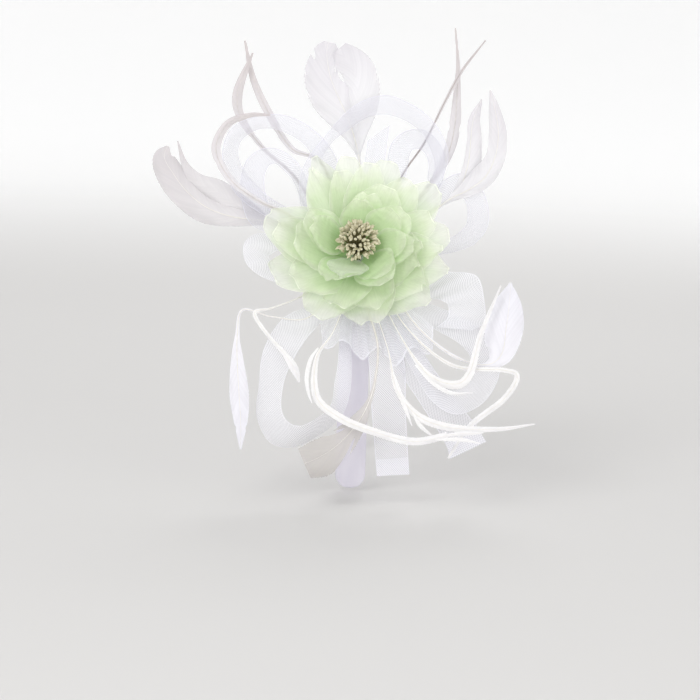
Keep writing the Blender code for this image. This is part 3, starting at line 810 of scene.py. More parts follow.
def dress(piece: bpy.types.Object, finish: Finish) -> None:
    """Gives a piece its finish.

    Args:
        piece: the object.
        finish: the finish, made on its first use.
    """
    if finish not in MATERIALS:
        MATERIALS[finish] = finish.value.make()
    piece.data.materials.clear()
    piece.data.materials.append(MATERIALS[finish])


def set_on_crown(piece: bpy.types.Object, finish: Finish, node: str = "") -> None:
    """Dresses a piece of the decoration and lets it ride on the crown.

    Args:
        piece: the object.
        finish: its finish.
        node: the node it stands for, if it stands for one.
    """
    dress(piece, finish)
    if node:
        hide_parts(node)
    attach(piece, "crown")


# ---------------------------------------------------------------- headband


@dataclass(frozen=True)
class Strip:
    """One stuff of the band: its width, base and depth over the inner face, and its end's inset.

    A wall above 0 makes it a sleeve. A girth is the width of the flat cloth, and 0 where the
    strip is no cloth.
    """

    kind: str
    width: float
    base: float
    depth: float
    inset: float
    finish: Finish
    slot: str
    node: str
    wall: float = 0.0
    girth: float = 0.0
    held: str = ""
    rests_on: str = ""

    def shrunk(self) -> Strip:
        """The pocket inside the sleeve's wall."""
        return replace(self, width=self.width - 2 * self.wall, base=self.base + self.wall,
                       depth=self.depth - 2 * self.wall, inset=self.inset + self.wall)


@dataclass
class Headband:
    """The satin-covered springy band, in two pieces that meet under the felt base.

    The node's arc is cut in facets, whose middles lie closer to its centre than their corners, so
    the arc's centre is placed by half a facet.
    """

    inner_radius: float = 66.0
    facet: float = math.radians(6.0)
    arm_length: float = 88.0
    arm_radius: float = 415.0
    hinge_angle: float = math.radians(75.0)
    flex_reach: float = 16.0
    join_gap: float = 0.15
    rows: int = 90
    tip_rows: int = 10
    strips: tuple[Strip, ...] = (
        Strip("spring_strip", 16.0, 1.45, 1.4, 1.2, Finish.PLASTIC, "plastic_strip", "core"),
        Strip("satin_cover", 18.0, 0.7, 2.9, 0.0, Finish.SATIN, "satin", "satin",
              wall=0.45, girth=41.0, held="stretched", rests_on="spring_strip"),
        Strip("lining_ribbon", 14.0, 0.0, 0.4, 2.0, Finish.SATIN, "satin", "lining",
              girth=14.0, held="laid", rests_on="satin_cover"),
    )

    @property
    def reach(self) -> float:
        """Distance along the inner face from the crown to a tip: a quarter circle and an arm."""
        return self.inner_radius * math.pi / 2 + self.arm_length

    def centre_line(self, distance: Array) -> tuple[Array, Array]:
        """Places on the inner face and outward directions, by signed distance past the crown.

        A quarter circle of the inner radius, then an arm on a much larger circle that meets it
        smoothly and draws the tips inwards.

        Args:
            distance: signed millimetres, negative towards the wearer's right.

        Returns:
            Points and directions, in millimetres of the row.
        """
        quarter = self.inner_radius * math.pi / 2
        side, past = np.sign(distance) + (distance == 0), np.abs(distance)
        turn = np.minimum(past, quarter) / self.inner_radius
        arm = np.maximum(past - quarter, 0) / self.arm_radius
        angle = turn + arm
        outward = np.stack([0 * angle, side * np.sin(angle), np.cos(angle)], axis=-1)
        depth = self.inner_radius * math.cos(self.facet / 2)
        middle_y = np.where(past > quarter, self.inner_radius - self.arm_radius, 0.0) * side
        radius = np.where(past > quarter, self.arm_radius, self.inner_radius)
        middle = np.stack([0 * angle, middle_y, np.full(len(angle), -depth)], axis=-1)
        return middle + outward * radius[:, None], outward

    def section(self, width: Array, depth: float, corners: int = 7) -> Array:
        """Rounded flat sections, one a row: a superellipse with a slight crown outside.

        Args:
            width: width a row.
            depth: thickness.
            corners: points a quarter.

        Returns:
            Array of rows by points by 2, across and outward.
        """
        turn = np.linspace(0, 2 * math.pi, 4 * corners, endpoint=False)
        cos, sin = np.cos(turn), np.sin(turn)
        across = np.sign(cos) * np.abs(cos) ** 0.25
        out = np.sign(sin) * np.abs(sin) ** 0.5
        across = across[None] * width[:, None] / 2
        squeeze = np.minimum(1.0, width[:, None] / (3.0 * depth))
        return np.stack([across, (out[None] * squeeze * 0.5 + 0.5) * depth], axis=-1)

    def rings(self, start: float, side: int, strip: Strip) -> tuple[Array, Array]:
        """Rings of a strip: flat sections carried along the band, narrowed by a cosine at the tip.

        Args:
            start: signed distance of its cut end past the crown.
            side: -1 for the wearer's right arm, 1 for the left.
            strip: its sizes.

        Returns:
            Points in millimetres, and places on the cloth in metres.
        """
        width = strip.width
        end = side * (self.reach - strip.inset)
        straight = np.linspace(start, end - side * width / 2, self.rows)
        turn = np.linspace(0, math.pi / 2, self.tip_rows + 1)[1:]
        tip = end - side * width / 2 * (1 - np.sin(turn))
        distance = np.concatenate([straight, tip])
        narrowed = width * np.maximum(np.cos(turn), 0.05)
        place, outward = self.centre_line(distance)
        ring = self.section(np.concatenate([np.full(self.rows, width), narrowed]), strip.depth)
        points = (place[:, None] + np.array([1.0, 0.0, 0.0]) * ring[..., :1]
                  + outward[:, None] * (strip.base + ring[..., 1:]))
        along = np.repeat(distance[:, None], ring.shape[1], axis=1)
        return points, np.stack([ring[..., 0], along], axis=-1) * MM

    def build_strip(self, name: str, start: float, side: int, strip: Strip) -> bpy.types.Object:
        """One length of the band from a place near the crown to one rounded tip.

        A sleeve's inner rings run back from its tip to the cut end, where its outer rings start.

        Args:
            name: the piece's name.
            start: signed distance of its cut end past the crown.
            side: -1 for the wearer's right arm, 1 for the left.
            strip: its sizes and finish.

        Returns:
            The piece.
        """
        points, cloth = self.rings(start, side, strip)
        if strip.wall:
            pocket, lining = self.rings(start, side, strip.shrunk())
            points = np.concatenate([pocket[::-1], points])
            cloth = np.concatenate([lining[::-1], cloth])
        faces, caps = tube_faces(*points.shape[:2])
        if side < 0:
            faces, caps = faces[:, ::-1], [cap[::-1] for cap in caps]
        piece = make_piece(name, points * MM, faces, {"Cloth": cloth}, caps)
        dress(piece, strip.finish)
        self.flex(piece)
        return piece

    def flex(self, piece: bpy.types.Object) -> None:
        """Bakes a piece's placement into its mesh.

        Args:
            piece: the piece.
        """
        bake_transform(piece)

    def build(self) -> None:
        """Builds strip, cover and lining for both sides and reports them."""
        for side, label in ((-1, "right"), (1, "left")):
            start = -SEAT_TILT * self.inner_radius + side * self.join_gap
            for strip in self.strips:
                piece = self.build_strip(f"{strip.kind}_{label}", start, side, strip)
                nodes = [f"{label}_arm_{strip.node}", f"crown_{strip.node}"]
                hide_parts(*nodes[: 2 if side > 0 else 1])
                LOG.info("%s: %d faces", piece.name, len(piece.data.polygons))


# ---------------------------------------------------------------- felt base


@dataclass
class FeltBase:
    """The felt disc under the flower, its patch inside the band, and the stitches through both."""

    radius: float = 23.0
    hub: float = 0.4
    around: int = 96
    waver: float = 0.15
    wavers: int = 7
    backing_width: float = 26.0
    backing_span: float = math.radians(24.0)
    backing_depth: float = 1.0
    backing_rows: int = 30
    stitches: int = 26
    stitch_inset: float = 3.0
    stitch_half: float = 0.07
    stitch_sag: float = 0.32
    stitch_radius: float = 0.22
    band: Headband = field(default_factory=Headband)

    def build(self) -> None:
        """Builds the disc, the patch and the stitches."""
        self.build_disc()
        self.build_backing()
        self.build_stitches()

    def build_disc(self) -> None:
        """A disc with a rounded rim: a profile turned round the seat's Z, its rim wavering."""
        turn = np.linspace(0, 2 * math.pi, self.around, endpoint=False)
        corner = np.linspace(-math.pi / 2, math.pi / 2, 9)
        half = FELT_THICKNESS / 2
        flat = [self.hub, self.radius * 0.5]
        rim = self.radius - half + half * np.cos(corner)
        out = np.concatenate([flat, rim, flat[::-1]])[:, None]
        top = FELT_THICKNESS
        up = np.concatenate([[0, 0], half + half * np.sin(corner), [top, top]]) + FELT_LIFT
        reach = out + self.waver * np.sin(self.wavers * turn) * (out / self.radius)
        points = np.stack([reach * np.cos(turn), reach * np.sin(turn),
                           np.repeat(up[:, None], self.around, axis=1)], axis=-1)
        faces, caps = tube_faces(*points.shape[:2])
        piece = make_piece("felt_disc", placed(points, seat_frame()), faces, caps=caps)
        set_on_crown(piece, Finish.FELT, "felt_base")
        LOG.info("%s built", piece.name)

    def build_backing(self) -> None:
        """The patch inside the band: rounded flat sections along the arc, narrowed at its ends."""
        reach = self.backing_span * self.band.inner_radius / 2
        ends = np.linspace(-1, 1, self.backing_rows)
        distance = -SEAT_TILT * self.band.inner_radius + reach * ends
        place, outward = self.band.centre_line(distance)
        narrowing = np.maximum(1 - np.maximum(np.abs(ends) - 0.86, 0) ** 2 * 14, 0.2)
        ring = self.band.section(self.backing_width * narrowing, self.backing_depth)
        points = (place[:, None] + np.array([1.0, 0, 0]) * ring[..., :1]
                  + outward[:, None] * (ring[..., 1:] - FELT_LIFT - self.backing_depth))
        faces, caps = tube_faces(*points.shape[:2])
        piece = make_piece("felt_patch", points * MM, faces, caps=caps)
        set_on_crown(piece, Finish.FELT, "felt_backing")
        LOG.info("%s built", piece.name)

    def build_stitches(self) -> None:
        """Running stitches round the disc's underside: short arcs that stand proud of it."""
        turn = np.linspace(0, 2 * math.pi, self.stitches, endpoint=False)
        share = np.linspace(-1, 1, 7)
        angle = turn[:, None] + share * self.stitch_half
        sag = FELT_LIFT + 0.12 - self.stitch_sag * (1 - share**2)
        radius = self.radius - self.stitch_inset
        paths = np.stack([radius * np.cos(angle), radius * np.sin(angle),
                          np.broadcast_to(sag, angle.shape)], axis=-1)
        strings_piece("base_stitches", paths, self.stitch_radius, seat_frame(), Finish.THREAD)


def strings_piece(name: str, paths: Array, radius: float, matrix: Matrix, finish: Finish,
                  node: str = "", sides: int = 6) -> None:
    """Many short tubes as one piece on the crown.

    Args:
        name: the piece's name.
        paths: tubes by rows by 3, in millimetres.
        radius: tube radius, drawn in at both ends.
        matrix: the frame they lie in.
        finish: the finish.
        node: the node they stand for, if any.
        sides: points a ring.
    """
    count, rows = paths.shape[:2]
    ends = np.minimum(np.linspace(0, 1, rows), np.linspace(1, 0, rows))
    taper = radius * np.clip(6 * ends, 0.3, 1)
    rings = np.concatenate([tube_points(path, taper, sides) for path in paths])
    faces, caps = tube_faces(rows, sides, count)
    piece = make_piece(name, placed(rings, matrix), faces, caps=caps)
    recalculate(piece)
    set_on_crown(piece, finish, node)
    LOG.info("%s: %d strings", name, count)


def recalculate(piece: bpy.types.Object) -> None:
    """Turns the faces of a closed piece outwards."""
    shape = bmesh.new()
    shape.from_mesh(piece.data)
    bmesh.ops.recalc_face_normals(shape, faces=shape.faces)
    shape.to_mesh(piece.data)
    shape.free()


# ---------------------------------------------------------------- flower


@dataclass(frozen=True)
class Petal:
    """One petal node: its turn round the flower, size, and the slope its tip ends at."""

    node: str
    turn: float
    length: float
    width: float
    curl: float


@dataclass(frozen=True)
class Layer:
    """One organza layer of a petal, against the petal node's own size.

    It is turned by spin degrees, scaled by long and wide, raised in millimetres, and starts at the
    slope rise; bend is added to the slope of its tip.
    """

    kind: str
    spin: float
    long: float
    wide: float
    raised: float
    rise: float
    bend: float
    frill: float


@dataclass
class Flower:
    """The organza flower: layered petals round a ball of stamens.

    outer and inner give each petal node's turn, length, width and curl. two_layered, pointed and
    creased number the outer petals without a front layer, with a pointed tip and with a deep fold;
    whitest_inner numbers the inner petal whose front layer is the palest.
    """

    root: float = 6.6
    outer_level: float = 15.0
    inner_level: float = 22.0
    rows: int = 46
    columns: int = 27
    seed: int = 7
    two_layered: tuple[int, ...] = (1, 2, 3, 5, 8, 9, 10)
    pointed: tuple[int, ...] = (1, 6, 7)
    creased: tuple[int, ...] = (1, 7)
    whitest_inner: int = 5
    outer_layers: tuple[Layer, ...] = (
        Layer("back", 0.0, 1.0, 1.12, -0.9, 9.0, -2.0, 2.0),
        Layer("middle", 9.0, 0.86, 0.94, 0.8, 13.0, 5.0, 1.8),
        Layer("front", 18.0, 0.66, 1.05, 3.2, 20.0, 16.0, 1.6),
    )
    inner_layers: tuple[Layer, ...] = (
        Layer("front", 0.0, 0.96, 1.0, 0.0, 30.0, 0.0, 1.0),
        Layer("back", -7.0, 1.12, 1.08, -1.0, 30.0, -8.0, 1.0),
    )
    outer: tuple[Station, ...] = (
        (113, 60, 27, 18), (95, 56, 24, 18), (74, 57, 27, 18), (46, 57, 30, 17), (17, 51, 28, 17),
        (-11, 51, 28, 17), (-43, 51, 34, 17), (-80, 44, 31, 17), (-114, 44, 31, 17),
        (-156, 46, 36, 17), (158, 52, 36, 18),
    )
    inner: tuple[Station, ...] = (
        (88, 26, 22, 60), (38, 28, 24, 52), (-6, 28, 22, 44), (-52, 27, 24, 32), (-112, 25, 24, 30),
        (166, 29, 26, 50),
    )

    def petal_grid(self, petal: Petal, level: float, rise: float, cup: float, roll: float,
                   crease: float, frill: float, point: float,
                   seed: int) -> tuple[Array, Array, Array]:
        """Points of one layer of a petal.

        The midline rises from the root and curls by a slope that grows along it. The half width is
        a sine hump, drawn to a point by its power. Across it, the cloth lifts by
        cup t^2 + roll t - crease |t|, and ruffles by a sum of sines of both parameters that grows
        towards the tip and the edges.

        Args:
            petal: the petal.
            level: height of its root.
            rise: slope at the root, in degrees.
            cup: lift of both edges, as a share of the half width.
            roll: tilt across, as a share of the half width.
            crease: drop of both edges from the midline, as a share of the half width.
            frill: height of the ruffle in millimetres.
            point: power of the hump near the tip; above 1 is pointed.
            seed: picks the ruffle.

        Returns:
            Points, cloth places in millimetres, and shares.
        """
        random = np.random.default_rng(seed)
        along = np.linspace(0, 1, self.rows)[:, None]
        across = np.linspace(-1, 1, self.columns)[None]
        slope = np.radians(rise + (petal.curl - rise) * along[:, 0])
        step = petal.length / (self.rows - 1)
        out = self.root + np.concatenate([[0], np.cumsum(np.cos(slope[1:]) * step)])
        up = level + np.concatenate([[0], np.cumsum(np.sin(slope[1:]) * step)])
        power = np.interp(along[:, 0], [0, 0.6, 1], [1.1, 0.75, point])
        hump = np.sin(np.pi * 0.965 * along[:, 0] ** 0.9) ** power
        edge = 1 + 0.035 * np.sin(along[:, 0] * 7 + random.uniform(0, 6.3))
        half = (petal.width / 2 * (0.10 + 0.90 * hump * edge))[:, None]
        side = half * across
        waves = random.uniform([2.0, -2.5, 0, 0.9], [7.5, 2.5, 6.3, 1.4], (4, 4))
        weight = np.array([1.0, 0.7, 0.3, 0.12])
        ruffle = sum(w * np.sin(k * along * g + m * across + f)
                     for w, (k, m, f, g) in zip(weight, waves * [[1], [1.5], [2.2], [3.0]]))
        tip = np.clip((along - 0.7) / 0.3, 0, 1) ** 1.5
        tip_wave = np.sin(across * random.uniform(2, 4.2) + random.uniform(0, 6.3)) * tip
        grow = along**1.2 * (0.22 + 0.78 * np.abs(across) ** 1.6)
        ruffle = frill * (0.6 * grow * ruffle + 0.9 * tip_wave)
        lift = half * (cup * across**2 + roll * across - crease * np.abs(across)) + ruffle
        reach = out[:, None] + 0.9 * tip_wave * random.uniform(-1, 1)
        turn = math.radians(petal.turn)
        radial = np.array([math.cos(turn), math.sin(turn), 0.0])
        tangent = np.array([-math.sin(turn), math.cos(turn), 0.0])
        points = ((reach - np.sin(slope)[:, None] * lift)[..., None] * radial
                  + side[..., None] * tangent
                  + (up[:, None] + np.cos(slope)[:, None] * lift)[..., None] * [0, 0, 1.0])
        cloth = np.stack(np.broadcast_arrays(side, along * petal.length), axis=-1)
        share = np.stack(np.broadcast_arrays(across / 2 + 0.5, along), axis=-1)
        return points, cloth, share

    def build_layer(self, name: str, petal: Petal, finish: Finish, **shape: float) -> None:
        """One organza layer of a petal, made as one layer of cloth.

        Args:
            name: the piece's name.
            petal: the petal.
            finish: its organza.
            shape: arguments of petal_grid.
        """
        grid, cloth, share = self.petal_grid(petal, **shape)
        points = placed(grid, seat_frame())
        piece = make_sheet(name, points, cloth * MM, share)
        set_on_crown(piece, finish, petal.node)

    def build(self) -> None:
        """Builds every petal's layers, the gathering disc and the stamens."""
        random = np.random.default_rng(self.seed)
        for number, sizes in enumerate(self.outer, 1):
            self.build_outer(number, sizes, random)
        for number, sizes in enumerate(self.inner, 1):
            self.build_inner(number, sizes, random)
        dress(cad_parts["petal_base"], Finish.GATHER)
        Stamens().build()

    def build_outer(self, number: int, sizes: Station, random: np.random.Generator) -> None:
        """The layers of one outer petal, the front one looser and bent up most above the flower.

        Args:
            number: the petal's number.
            sizes: turn, length, width and curl of its node.
            random: source of the small differences.
        """
        node = f"outer_petal_{number:02d}"
        turn, length, width, curl = sizes
        for layer in self.outer_layers:
            front = layer.kind == "front"
            if front and number in self.two_layered:
                continue
            above = (1 + math.sin(math.radians(turn))) / 2 if front else 1.0
            loose = 9.0 if front else 3.0
            crease = 0.28 if number in self.creased else 0.13
            petal = Petal(node, turn + layer.spin + random.uniform(-loose, loose),
                          length * layer.long * random.uniform(0.94, 1.04), width * layer.wide,
                          curl + layer.bend * above)
            self.build_layer(f"{node}_{layer.kind}", petal, Finish.PALE_MINT, frill=layer.frill,
                             level=self.outer_level + layer.raised, rise=layer.rise, cup=0.04,
                             roll=0.17 + random.uniform(-0.08, 0.08),
                             point=1.5 if number in self.pointed else 0.6,
                             crease=0.1 if front else crease, seed=int(random.integers(1000)))
        LOG.info("%s: %d layers", node, 2 if number in self.two_layered else 3)

    def build_inner(self, number: int, sizes: Station, random: np.random.Generator) -> None:
        """The two layers of one inner petal.

        Args:
            number: the petal's number.
            sizes: turn, length, width and curl of its node.
            random: source of the small differences.
        """
        node = f"inner_petal_{number}"
        turn, length, width, curl = sizes
        for layer in self.inner_layers:
            petal = Petal(node, turn + layer.spin + random.uniform(-3, 3), length * layer.long,
                          width * layer.wide, curl + layer.bend)
            white = number == self.whitest_inner and layer.kind == "front"
            self.build_layer(f"{node}_{layer.kind}", petal,
                             Finish.WHITE_MINT if white else Finish.MINT, frill=layer.frill,
                             level=self.inner_level + layer.raised, rise=layer.rise, cup=0.16,
                             roll=0.2 + random.uniform(-0.08, 0.08), point=0.6, crease=0.06,
                             seed=int(random.integers(1000)))
        LOG.info("%s: two layers", node)


@dataclass
class Stamens:
    """A half ball of seed-shaped stamens on wired stems."""

    count: int = 150
    level: float = 33.0
    radius: float = 12.0
    seed_length: float = 4.1
    seed_radius: float = 0.88
    seed_rows: int = 7
    seed_sides: int = 8
    stem_root: float = 13.5
    stem_radius: float = 0.28
    stem_rows: int = 8
    seed: int = 11

    def directions(self) -> Array:
        """Even directions over a little more than half a ball, by the golden angle, with jitter.

        Returns:
            Unit vectors whose Z falls evenly from 1, each turned by the golden angle past the last.
        """
        random = np.random.default_rng(self.seed)
        index = np.arange(self.count) + 0.5
        height = 1 - index / self.count * 1.15
        turn = index * math.pi * (3 - math.sqrt(5))
        flat = np.sqrt(np.maximum(1 - height**2, 0))
        way = np.stack([flat * np.cos(turn), flat * np.sin(turn), height], axis=1)
        return unit(way + random.normal(0, 0.09, way.shape))

    def build(self) -> None:
        """Builds the seeds, and the stems as arcs (1-t)^2 A + 2t(1-t) B + t^2 C from the collar."""
        random = np.random.default_rng(self.seed + 1)
        way = self.directions()
        reach = self.radius * random.uniform(0.8, 1.0, self.count)
        centre = np.array([0.0, 0.0, self.level - 2.0])
        tips = centre + way * reach[:, None]
        lean = unit(way + random.normal(0, 0.30, way.shape))
        self.build_seeds(tips, lean)
        root = np.array([0.0, 0.0, self.stem_root]) + np.c_[way[:, :2] * 2.2, np.zeros(self.count)]
        t = np.linspace(0, 1, self.stem_rows)[None, :, None]
        middle = centre * [1, 1, 0.8] + way * 1.5
        foot = tips - lean * self.seed_length * 0.4
        paths = ((1 - t) ** 2 * root[:, None] + 2 * t * (1 - t) * middle[:, None]
                 + t**2 * foot[:, None])
        strings_piece("stamen_stems", paths, self.stem_radius, seat_frame(), Finish.SHADED_STEM,
                      "stamens")

    def build_seeds(self, tips: Array, lean: Array) -> None:
        """Seeds as long drops: a profile r = R sin(pi s)^0.7 turned round each seed's lean.

        Args:
            tips: middles of the seeds.
            lean: their directions.
        """
        share = np.linspace(0.02, 0.98, self.seed_rows)
        turn = np.linspace(0, 2 * math.pi, self.seed_sides, endpoint=False)[:, None]
        first = unit(np.cross(lean, [0.3, 0.2, 1.0]))[:, None, None]
        second = np.cross(lean[:, None, None], first)
        radius = self.seed_radius * np.sin(np.pi * share) ** 0.7
        place = tips[:, None] + lean[:, None] * ((share - 0.5) * self.seed_length)[None, :, None]
        ring = np.cos(turn) * first + np.sin(turn) * second
        points = place[:, :, None] + ring * radius[None, :, None, None]
        faces, caps = tube_faces(self.seed_rows, self.seed_sides, self.count)
        piece = make_piece("stamen_seeds", placed(points, seat_frame()), faces, caps=caps)
        recalculate(piece)
        set_on_crown(piece, Finish.SEED, "stamens")
        LOG.info("stamen_seeds: %d seeds", self.count)


# ---------------------------------------------------------------- spray: crin


@dataclass(frozen=True)
class BraidStyle:
    """How one kind of ribbon is shaped: its arch and waves in millimetres, and its pleats."""

    finish: Finish
    arch: float = 1.2
    wave: float = 0.8
    pleats: int = 0
    rows: int = 120


class Braid(Enum):
    """Every kind of crin ribbon in the spray."""

    # The loops and flat tail above the flower take the darker crin copy, painted shade.
    LOOP = BraidStyle(Finish.SHADED_CRIN)
    DENSE_LOOP = BraidStyle(Finish.DENSE_CRIN)
    FLAT = BraidStyle(Finish.SHADED_CRIN, 0.5, 0.5)
    DENSE_FLAT = BraidStyle(Finish.DENSE_CRIN, 0.5, 0.5)
    HEMMED_TAIL = BraidStyle(Finish.HEMMED_CRIN, 0.5, 0.5)
    PLEATED_FAN = BraidStyle(Finish.DENSE_CRIN, wave=0.2, pleats=14, rows=240)


# Across, rise and level above the felt along a ribbon's two edges, in millimetres.
CRIN_RIBBONS: dict[str, tuple[Braid, Track, Track]] = {
    "crin_top_loop": (
        Braid.LOOP,
        ((-13, -5, 9.4), (-30, 14, 10.0), (-35, 30, 11.0), (-32, 47, 12), (-17, 68, 13),
         (0, 84, 14), (16, 89, 14), (31, 84, 14), (42, 77, 13), (51, 64, 12), (54, 50, 11),
         (45, 30, 9.6), (14, -4, 9.0)),
        ((-10, -7, 9.6), (-24, 10, 10.2), (-29, 26, 13), (-26, 43, 18), (-14, 60, 22), (0, 72, 24),
         (14, 76, 24), (27, 74, 23), (36, 67, 21), (43, 56, 18), (46, 45, 14), (38, 30, 9.8),
         (11, -6, 9.2)),
    ),
    "crin_up_tail": (
        Braid.FLAT,
        ((2, -2, 10.4), (3, 20, 10.4), (3, 40, 11), (6, 62, 13)),
        ((5, -2, 10.4), (13, 20, 10.4), (15, 40, 11), (19, 71, 13)),
    ),
    "crin_inner_arch": (
        Braid.LOOP,
        ((8, -3, 7.4), (13, 22, 7.4), (17, 45, 8.0), (20, 60, 8.4), (29, 68, 8.4), (41, 68, 8.4),
         (50, 59, 8.4), (52, 46, 8.0), (46, 28, 6.4), (15, -8, 6.4)),
        ((11, -4, 7.2), (23, 22, 7.2), (29, 42, 7.6), (31, 53, 8.0), (34, 57, 8.0), (39, 56, 8.0),
         (42, 50, 8.0), (42, 42, 7.6), (38, 28, 6.4), (12, -8, 6.4)),
    ),
    "crin_left_outer_ring": (
        Braid.LOOP,
        ((-15, -10, 8.6), (-36, 9, 8.8), (-56, 17, 9), (-72, 29, 10), (-79, 43, 11), (-81, 56, 11),
         (-75, 70, 11), (-60, 77, 11), (-43, 77, 10.5), (-28, 70, 9.5), (-14, 54, 7.5),
         (-7, 30, 6.8), (-5, -3, 6.8)),
        ((-14, -8, 8.6), (-30, 14, 8.8), (-50, 26, 11), (-62, 36, 16), (-69, 47, 18), (-71, 58, 18),
         (-66, 65, 18), (-56, 68, 18), (-44, 67, 16), (-33, 60, 12), (-25, 48, 8.5), (-16, 28, 7.2),
         (-8, -4, 6.8)),
    ),
    "crin_left_inner_ring": (
        Braid.LOOP,
        ((-15, -13, 6.6), (-40, 2, 6.6), (-62, 10, 7), (-69, 24, 7), (-70, 38, 7), (-67, 50, 7),
         (-58, 57, 7), (-47, 57, 7), (-37, 50, 6.6), (-30, 38, 6), (-22, 20, 5.8), (-11, -5, 5.8)),
        ((-15, -11, 6.6), (-36, 7, 6.6), (-49, 14, 7.6), (-54, 26, 8.4), (-56, 38, 8.6),
         (-54, 45, 8.6), (-51, 48, 8.6), (-47, 47, 8.6), (-42, 42, 8), (-37, 34, 7), (-30, 18, 6.0),
         (-13, -7, 5.8)),
    ),
    "crin_right_loop": (
        Braid.LOOP,
        ((13, -5, 4.4), (36, 22, 4.4), (54, 40, 5), (67, 41, 6), (76, 29, 7), (78, 13, 7),
         (71, 1, 6), (58, -5, 5), (38, -9, 4.4), (16, -13, 4.4)),
        ((15, -8, 4.4), (40, 14, 4.4), (53, 26, 5), (60, 29, 7), (65, 23, 9), (65, 13, 9),
         (61, 7, 8), (54, 3, 6), (38, -1, 4.6), (16, -10, 4.4)),
    ),
    "crin_left_flap": (
        Braid.DENSE_LOOP,
        ((-14, -14, 10.4), (-38, -2, 10.6), (-56, 6, 11), (-67, 0, 11), (-66, -12, 10),
         (-57, -20, 9), (-44, -25, 7), (-28, -29, 6.4), (-13, -21, 6.0)),
        ((-15, -17, 10.4), (-36, -10, 10.6), (-46, -5, 12), (-52, -7, 13), (-52, -10, 12),
         (-47, -14, 11), (-38, -17, 8), (-26, -22, 6.6), (-14, -19, 6.2)),
    ),
    "crin_lower_left_loop": (
        Braid.DENSE_LOOP,
        ((-11, -24, 5.0), (-26, -36, 5.0), (-44, -45, 5), (-55, -63, 6), (-58, -84, 6),
         (-59, -102, 6), (-52, -117, 6), (-38, -120, 6), (-22, -113, 5), (-9, -101, 5),
         (-4, -84, 4.6), (-4, -60, 4.6), (-6, -26, 5.0)),
        ((-9, -25, 5.0), (-18, -42, 5.0), (-30, -57, 7), (-39, -71, 10), (-43, -84, 13),
         (-45, -96, 15), (-41, -104, 16), (-33, -107, 16), (-23, -103, 14), (-16, -94, 10),
         (-13, -80, 6.6), (-11, -60, 4.8), (-8, -26, 5.0)),
    ),
    "crin_fan": (
        Braid.PLEATED_FAN,
        ((-22, -48, 11), (-19, -63, 13.4), (-8, -58, 12), (2, -69, 14), (12, -62, 12.6),
         (22, -73, 14), (31, -62, 12.6), (42, -66, 14), (44, -50, 12)),
        ((-10, -26, 8.4), (-7, -27, 8.9), (-4, -27, 8.4), (0, -27, 8.9), (3, -27, 8.4),
         (6, -27, 8.9), (9, -26, 8.4), (12, -25, 8.9), (14, -23, 8.4)),
    ),
    "crin_tail": (
        Braid.HEMMED_TAIL,
        ((0, -27, 5.6), (1, -44, 5.6), (6, -70, 5.8), (8, -100, 6), (11, -137, 6)),
        ((4, -27, 5.6), (18, -44, 5.6), (27, -70, 5.8), (28, -100, 6), (30, -136, 6)),
    ),
    "crin_corner": (
        Braid.DENSE_FLAT,
        ((16, -16, 5.8), (36, -14, 6), (52, -17, 8), (64, -18, 9), (71, -21, 9), (74, -34, 9),
         (74, -47, 9), (66, -52, 8)),
        ((16, -18, 5.8), (33, -28, 6), (44, -33, 8), (50, -35, 9), (52, -36, 9), (53, -40, 9),
         (52, -45, 9), (46, -50, 8)),
    ),
    "crin_lower_right_loop": (
        Braid.DENSE_LOOP,
        ((14, -20, 4.4), (34, -32, 4.4), (56, -42, 4.6), (74, -52, 5), (82, -64, 6), (82, -80, 7),
         (72, -95, 8), (57, -101, 8), (43, -93, 8), (32, -76, 7.4), (22, -56, 7.2), (9, -26, 7.0)),
        ((12, -21, 4.4), (28, -38, 4.4), (46, -52, 6), (60, -60, 8), (65, -67, 11), (65, -76, 13),
         (60, -83, 14), (53, -85, 14), (46, -79, 12), (38, -66, 8.0), (30, -50, 7.2),
         (11, -25, 7.0)),
    ),
    "crin_cross_tail": (
        Braid.HEMMED_TAIL,
        ((5, -27, 4.4), (11, -44, 4.4), (22, -72, 4.4), (36, -94, 3), (50, -116, 2), (54, -127, 2)),
        ((8, -26, 4.4), (24, -40, 4.4), (39, -66, 4.4), (54, -88, 3), (68, -106, 2), (75, -117, 2)),
    ),
}


